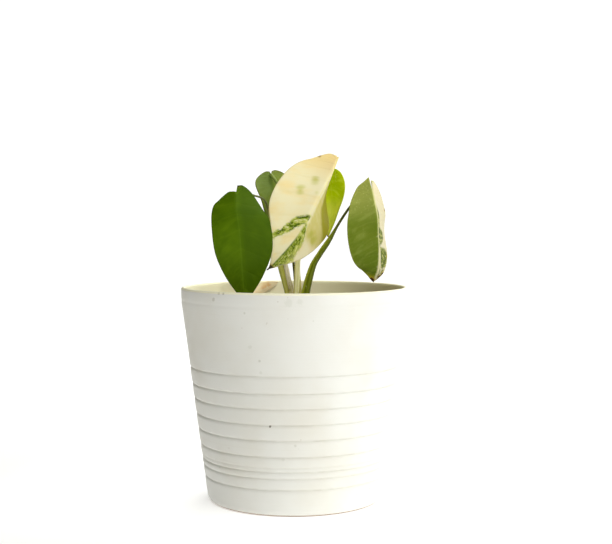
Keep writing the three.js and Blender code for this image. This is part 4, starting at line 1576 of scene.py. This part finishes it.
def studio(stage):
    """White where the camera looks, and for the pieces a soft light that is brighter from the right."""
    w = Nodes(bpy.data.worlds.new("studio"), "OutputWorld")
    seen = w.add("Background", Color=(1.0, 1.0, 1.0), Strength=1.1).outputs[0]
    dot = w.add("VectorMath", {"operation": "DOT_PRODUCT"})
    toward = Vector((0.95, -0.05, 0.3)).normalized()
    value = w.fill(dot, w.add("TexCoord").outputs["Generated"], toward)["Value"]
    colour = w.mixed(w.ramp(value, -0.4, 1.0), (0.03, 0.025, 0.015), (1.75, 1.75, 1.72))
    lit = w.add("Background", Color=colour, Strength=stage.room).outputs[0]
    camera_ray = w.add("LightPath").outputs["Is Camera Ray"]
    return w.close(w.mixed_shader(camera_ray, lit, seen))


class MONSTERA_OT_stage(Operator):
    """Plain pale floor, soft studio light and the camera of the photograph"""

    bl_idname = "monstera.stage"
    bl_label = "Stage"

    def execute(self, context):
        stage = context.scene.monstera_stage
        clear_selection()
        bpy.ops.mesh.primitive_circle_add(vertices=96, radius=FLOOR_RADIUS, fill_type="NGON")
        floor = named("floor")
        f = Finish("floor")
        place = f.object_place()
        colour = f.tinted(stage.floor, rgb(240, 240, 238), f.grain(place, 1.5, 2.0), 0.3, 0.7)
        distance = f.add("VectorMath", {"operation": "LENGTH"}, Vector=place).outputs["Value"]
        near = f.ramp(distance, 0.05, 0.24, 0.42, 0.0)
        lit = f.sum(near, f.ramp(distance, 0.3, 1.2, 0.05, 0.34))
        glow = dict(Emission_Color=(1, 1, 1, 1), Emission_Strength=lit)
        floor.data.materials.append(f.shade(Base_Color=colour, Roughness=0.9, **glow))
        context.scene.world = studio(stage)
        warm = (1.0, 0.98, 0.91)
        area_lamp("key", (1.7, -0.9, 1.12), (0, 0, 0.1), (1.4, 1.8), stage.key, (0.98, 0.99, 1.03))
        area_lamp("fill", (0.5, -1.8, 0.32), (0, 0, 0.08), (1.6, 1.0), stage.fill, warm)
        area_lamp("top", (0.2, -1.15, 1.6), (0, 0, 0.12), (0.9, 0.9), stage.top, warm)
        lamp("beam", "SPOT", (0.6, -0.76, 1.88), (-0.012, 0.06, 0.13), stage.beam,
             spot_size=math.radians(BEAM_ANGLE), spot_blend=1.0, shadow_soft_size=0.06)
        bounce = area_lamp("bounce", (0.17, -0.3, 0.003), (0.1, -0.2, 1.0), (0.5, 0.34), stage.bounce)
        bounce.visible_camera = False
        area_lamp("back", (0.35, 0.9, 0.8), (0, 0, 0.15), (0.9, 0.7), stage.back)
        camera = bpy.data.cameras.new("photo_camera")
        camera.sensor_width = SENSOR_WIDTH
        camera.lens = FOCAL_PIXELS * SENSOR_WIDTH / PHOTO_WIDTH
        camera.clip_start = 0.01
        holder = bpy.data.objects.new("photo_camera", camera)
        context.scene.collection.objects.link(holder)
        holder.location = CAMERA_PLACE
        holder.rotation_euler = (math.radians(90 - CAMERA_PITCH), 0, math.radians(-CAMERA_YAW))
        context.scene.camera = holder
        context.scene.view_settings.view_transform = "Standard"
        return {"FINISHED"}


# Panel
PIECE_OPERATORS = (
    MONSTERA_OT_pot,
    MONSTERA_OT_soil,
    MONSTERA_OT_crown,
    MONSTERA_OT_leafstalks,
    MONSTERA_OT_blades,
    MONSTERA_OT_old_sheath,
    MONSTERA_OT_dried_leaf,
    MONSTERA_OT_stage,
)
SETTINGS = {
    "monstera_pot": MONSTERA_PotSettings,
    "monstera_leaves": MONSTERA_LeafSettings,
    "monstera_stalks": MONSTERA_StalkSettings,
    "monstera_soil": MONSTERA_SoilSettings,
    "monstera_stage": MONSTERA_StageSettings,
}


class MONSTERA_PT_panel(Panel):
    bl_label = "Potted monstera"
    bl_idname = "MONSTERA_PT_panel"
    bl_space_type = "VIEW_3D"
    bl_region_type = "UI"
    bl_category = "Monstera"

    def draw(self, context):
        layout = self.layout
        for name, group in SETTINGS.items():
            box = layout.box()
            for key in group.__annotations__:
                box.prop(getattr(context.scene, name), key)
        for operator in PIECE_OPERATORS:
            layout.operator(operator.bl_idname)


def register():
    for group in SETTINGS.values():
        bpy.utils.register_class(group)
    for name, group in SETTINGS.items():
        setattr(bpy.types.Scene, name, PointerProperty(type=group))
    for operator in PIECE_OPERATORS:
        bpy.utils.register_class(operator)
    bpy.utils.register_class(MONSTERA_PT_panel)


def unregister():
    bpy.utils.unregister_class(MONSTERA_PT_panel)
    for operator in reversed(PIECE_OPERATORS):
        bpy.utils.unregister_class(operator)
    for name in SETTINGS:
        delattr(bpy.types.Scene, name)
    for group in SETTINGS.values():
        bpy.utils.unregister_class(group)


def main():
    register()
    bpy.ops.monstera.pot()
    bpy.ops.monstera.soil()
    bpy.ops.monstera.crown()
    bpy.ops.monstera.leafstalks()
    bpy.ops.monstera.blades()
    bpy.ops.monstera.old_sheath()
    bpy.ops.monstera.dried_leaf()
    bpy.ops.monstera.stage()


if __name__ == "__main__":
    main()
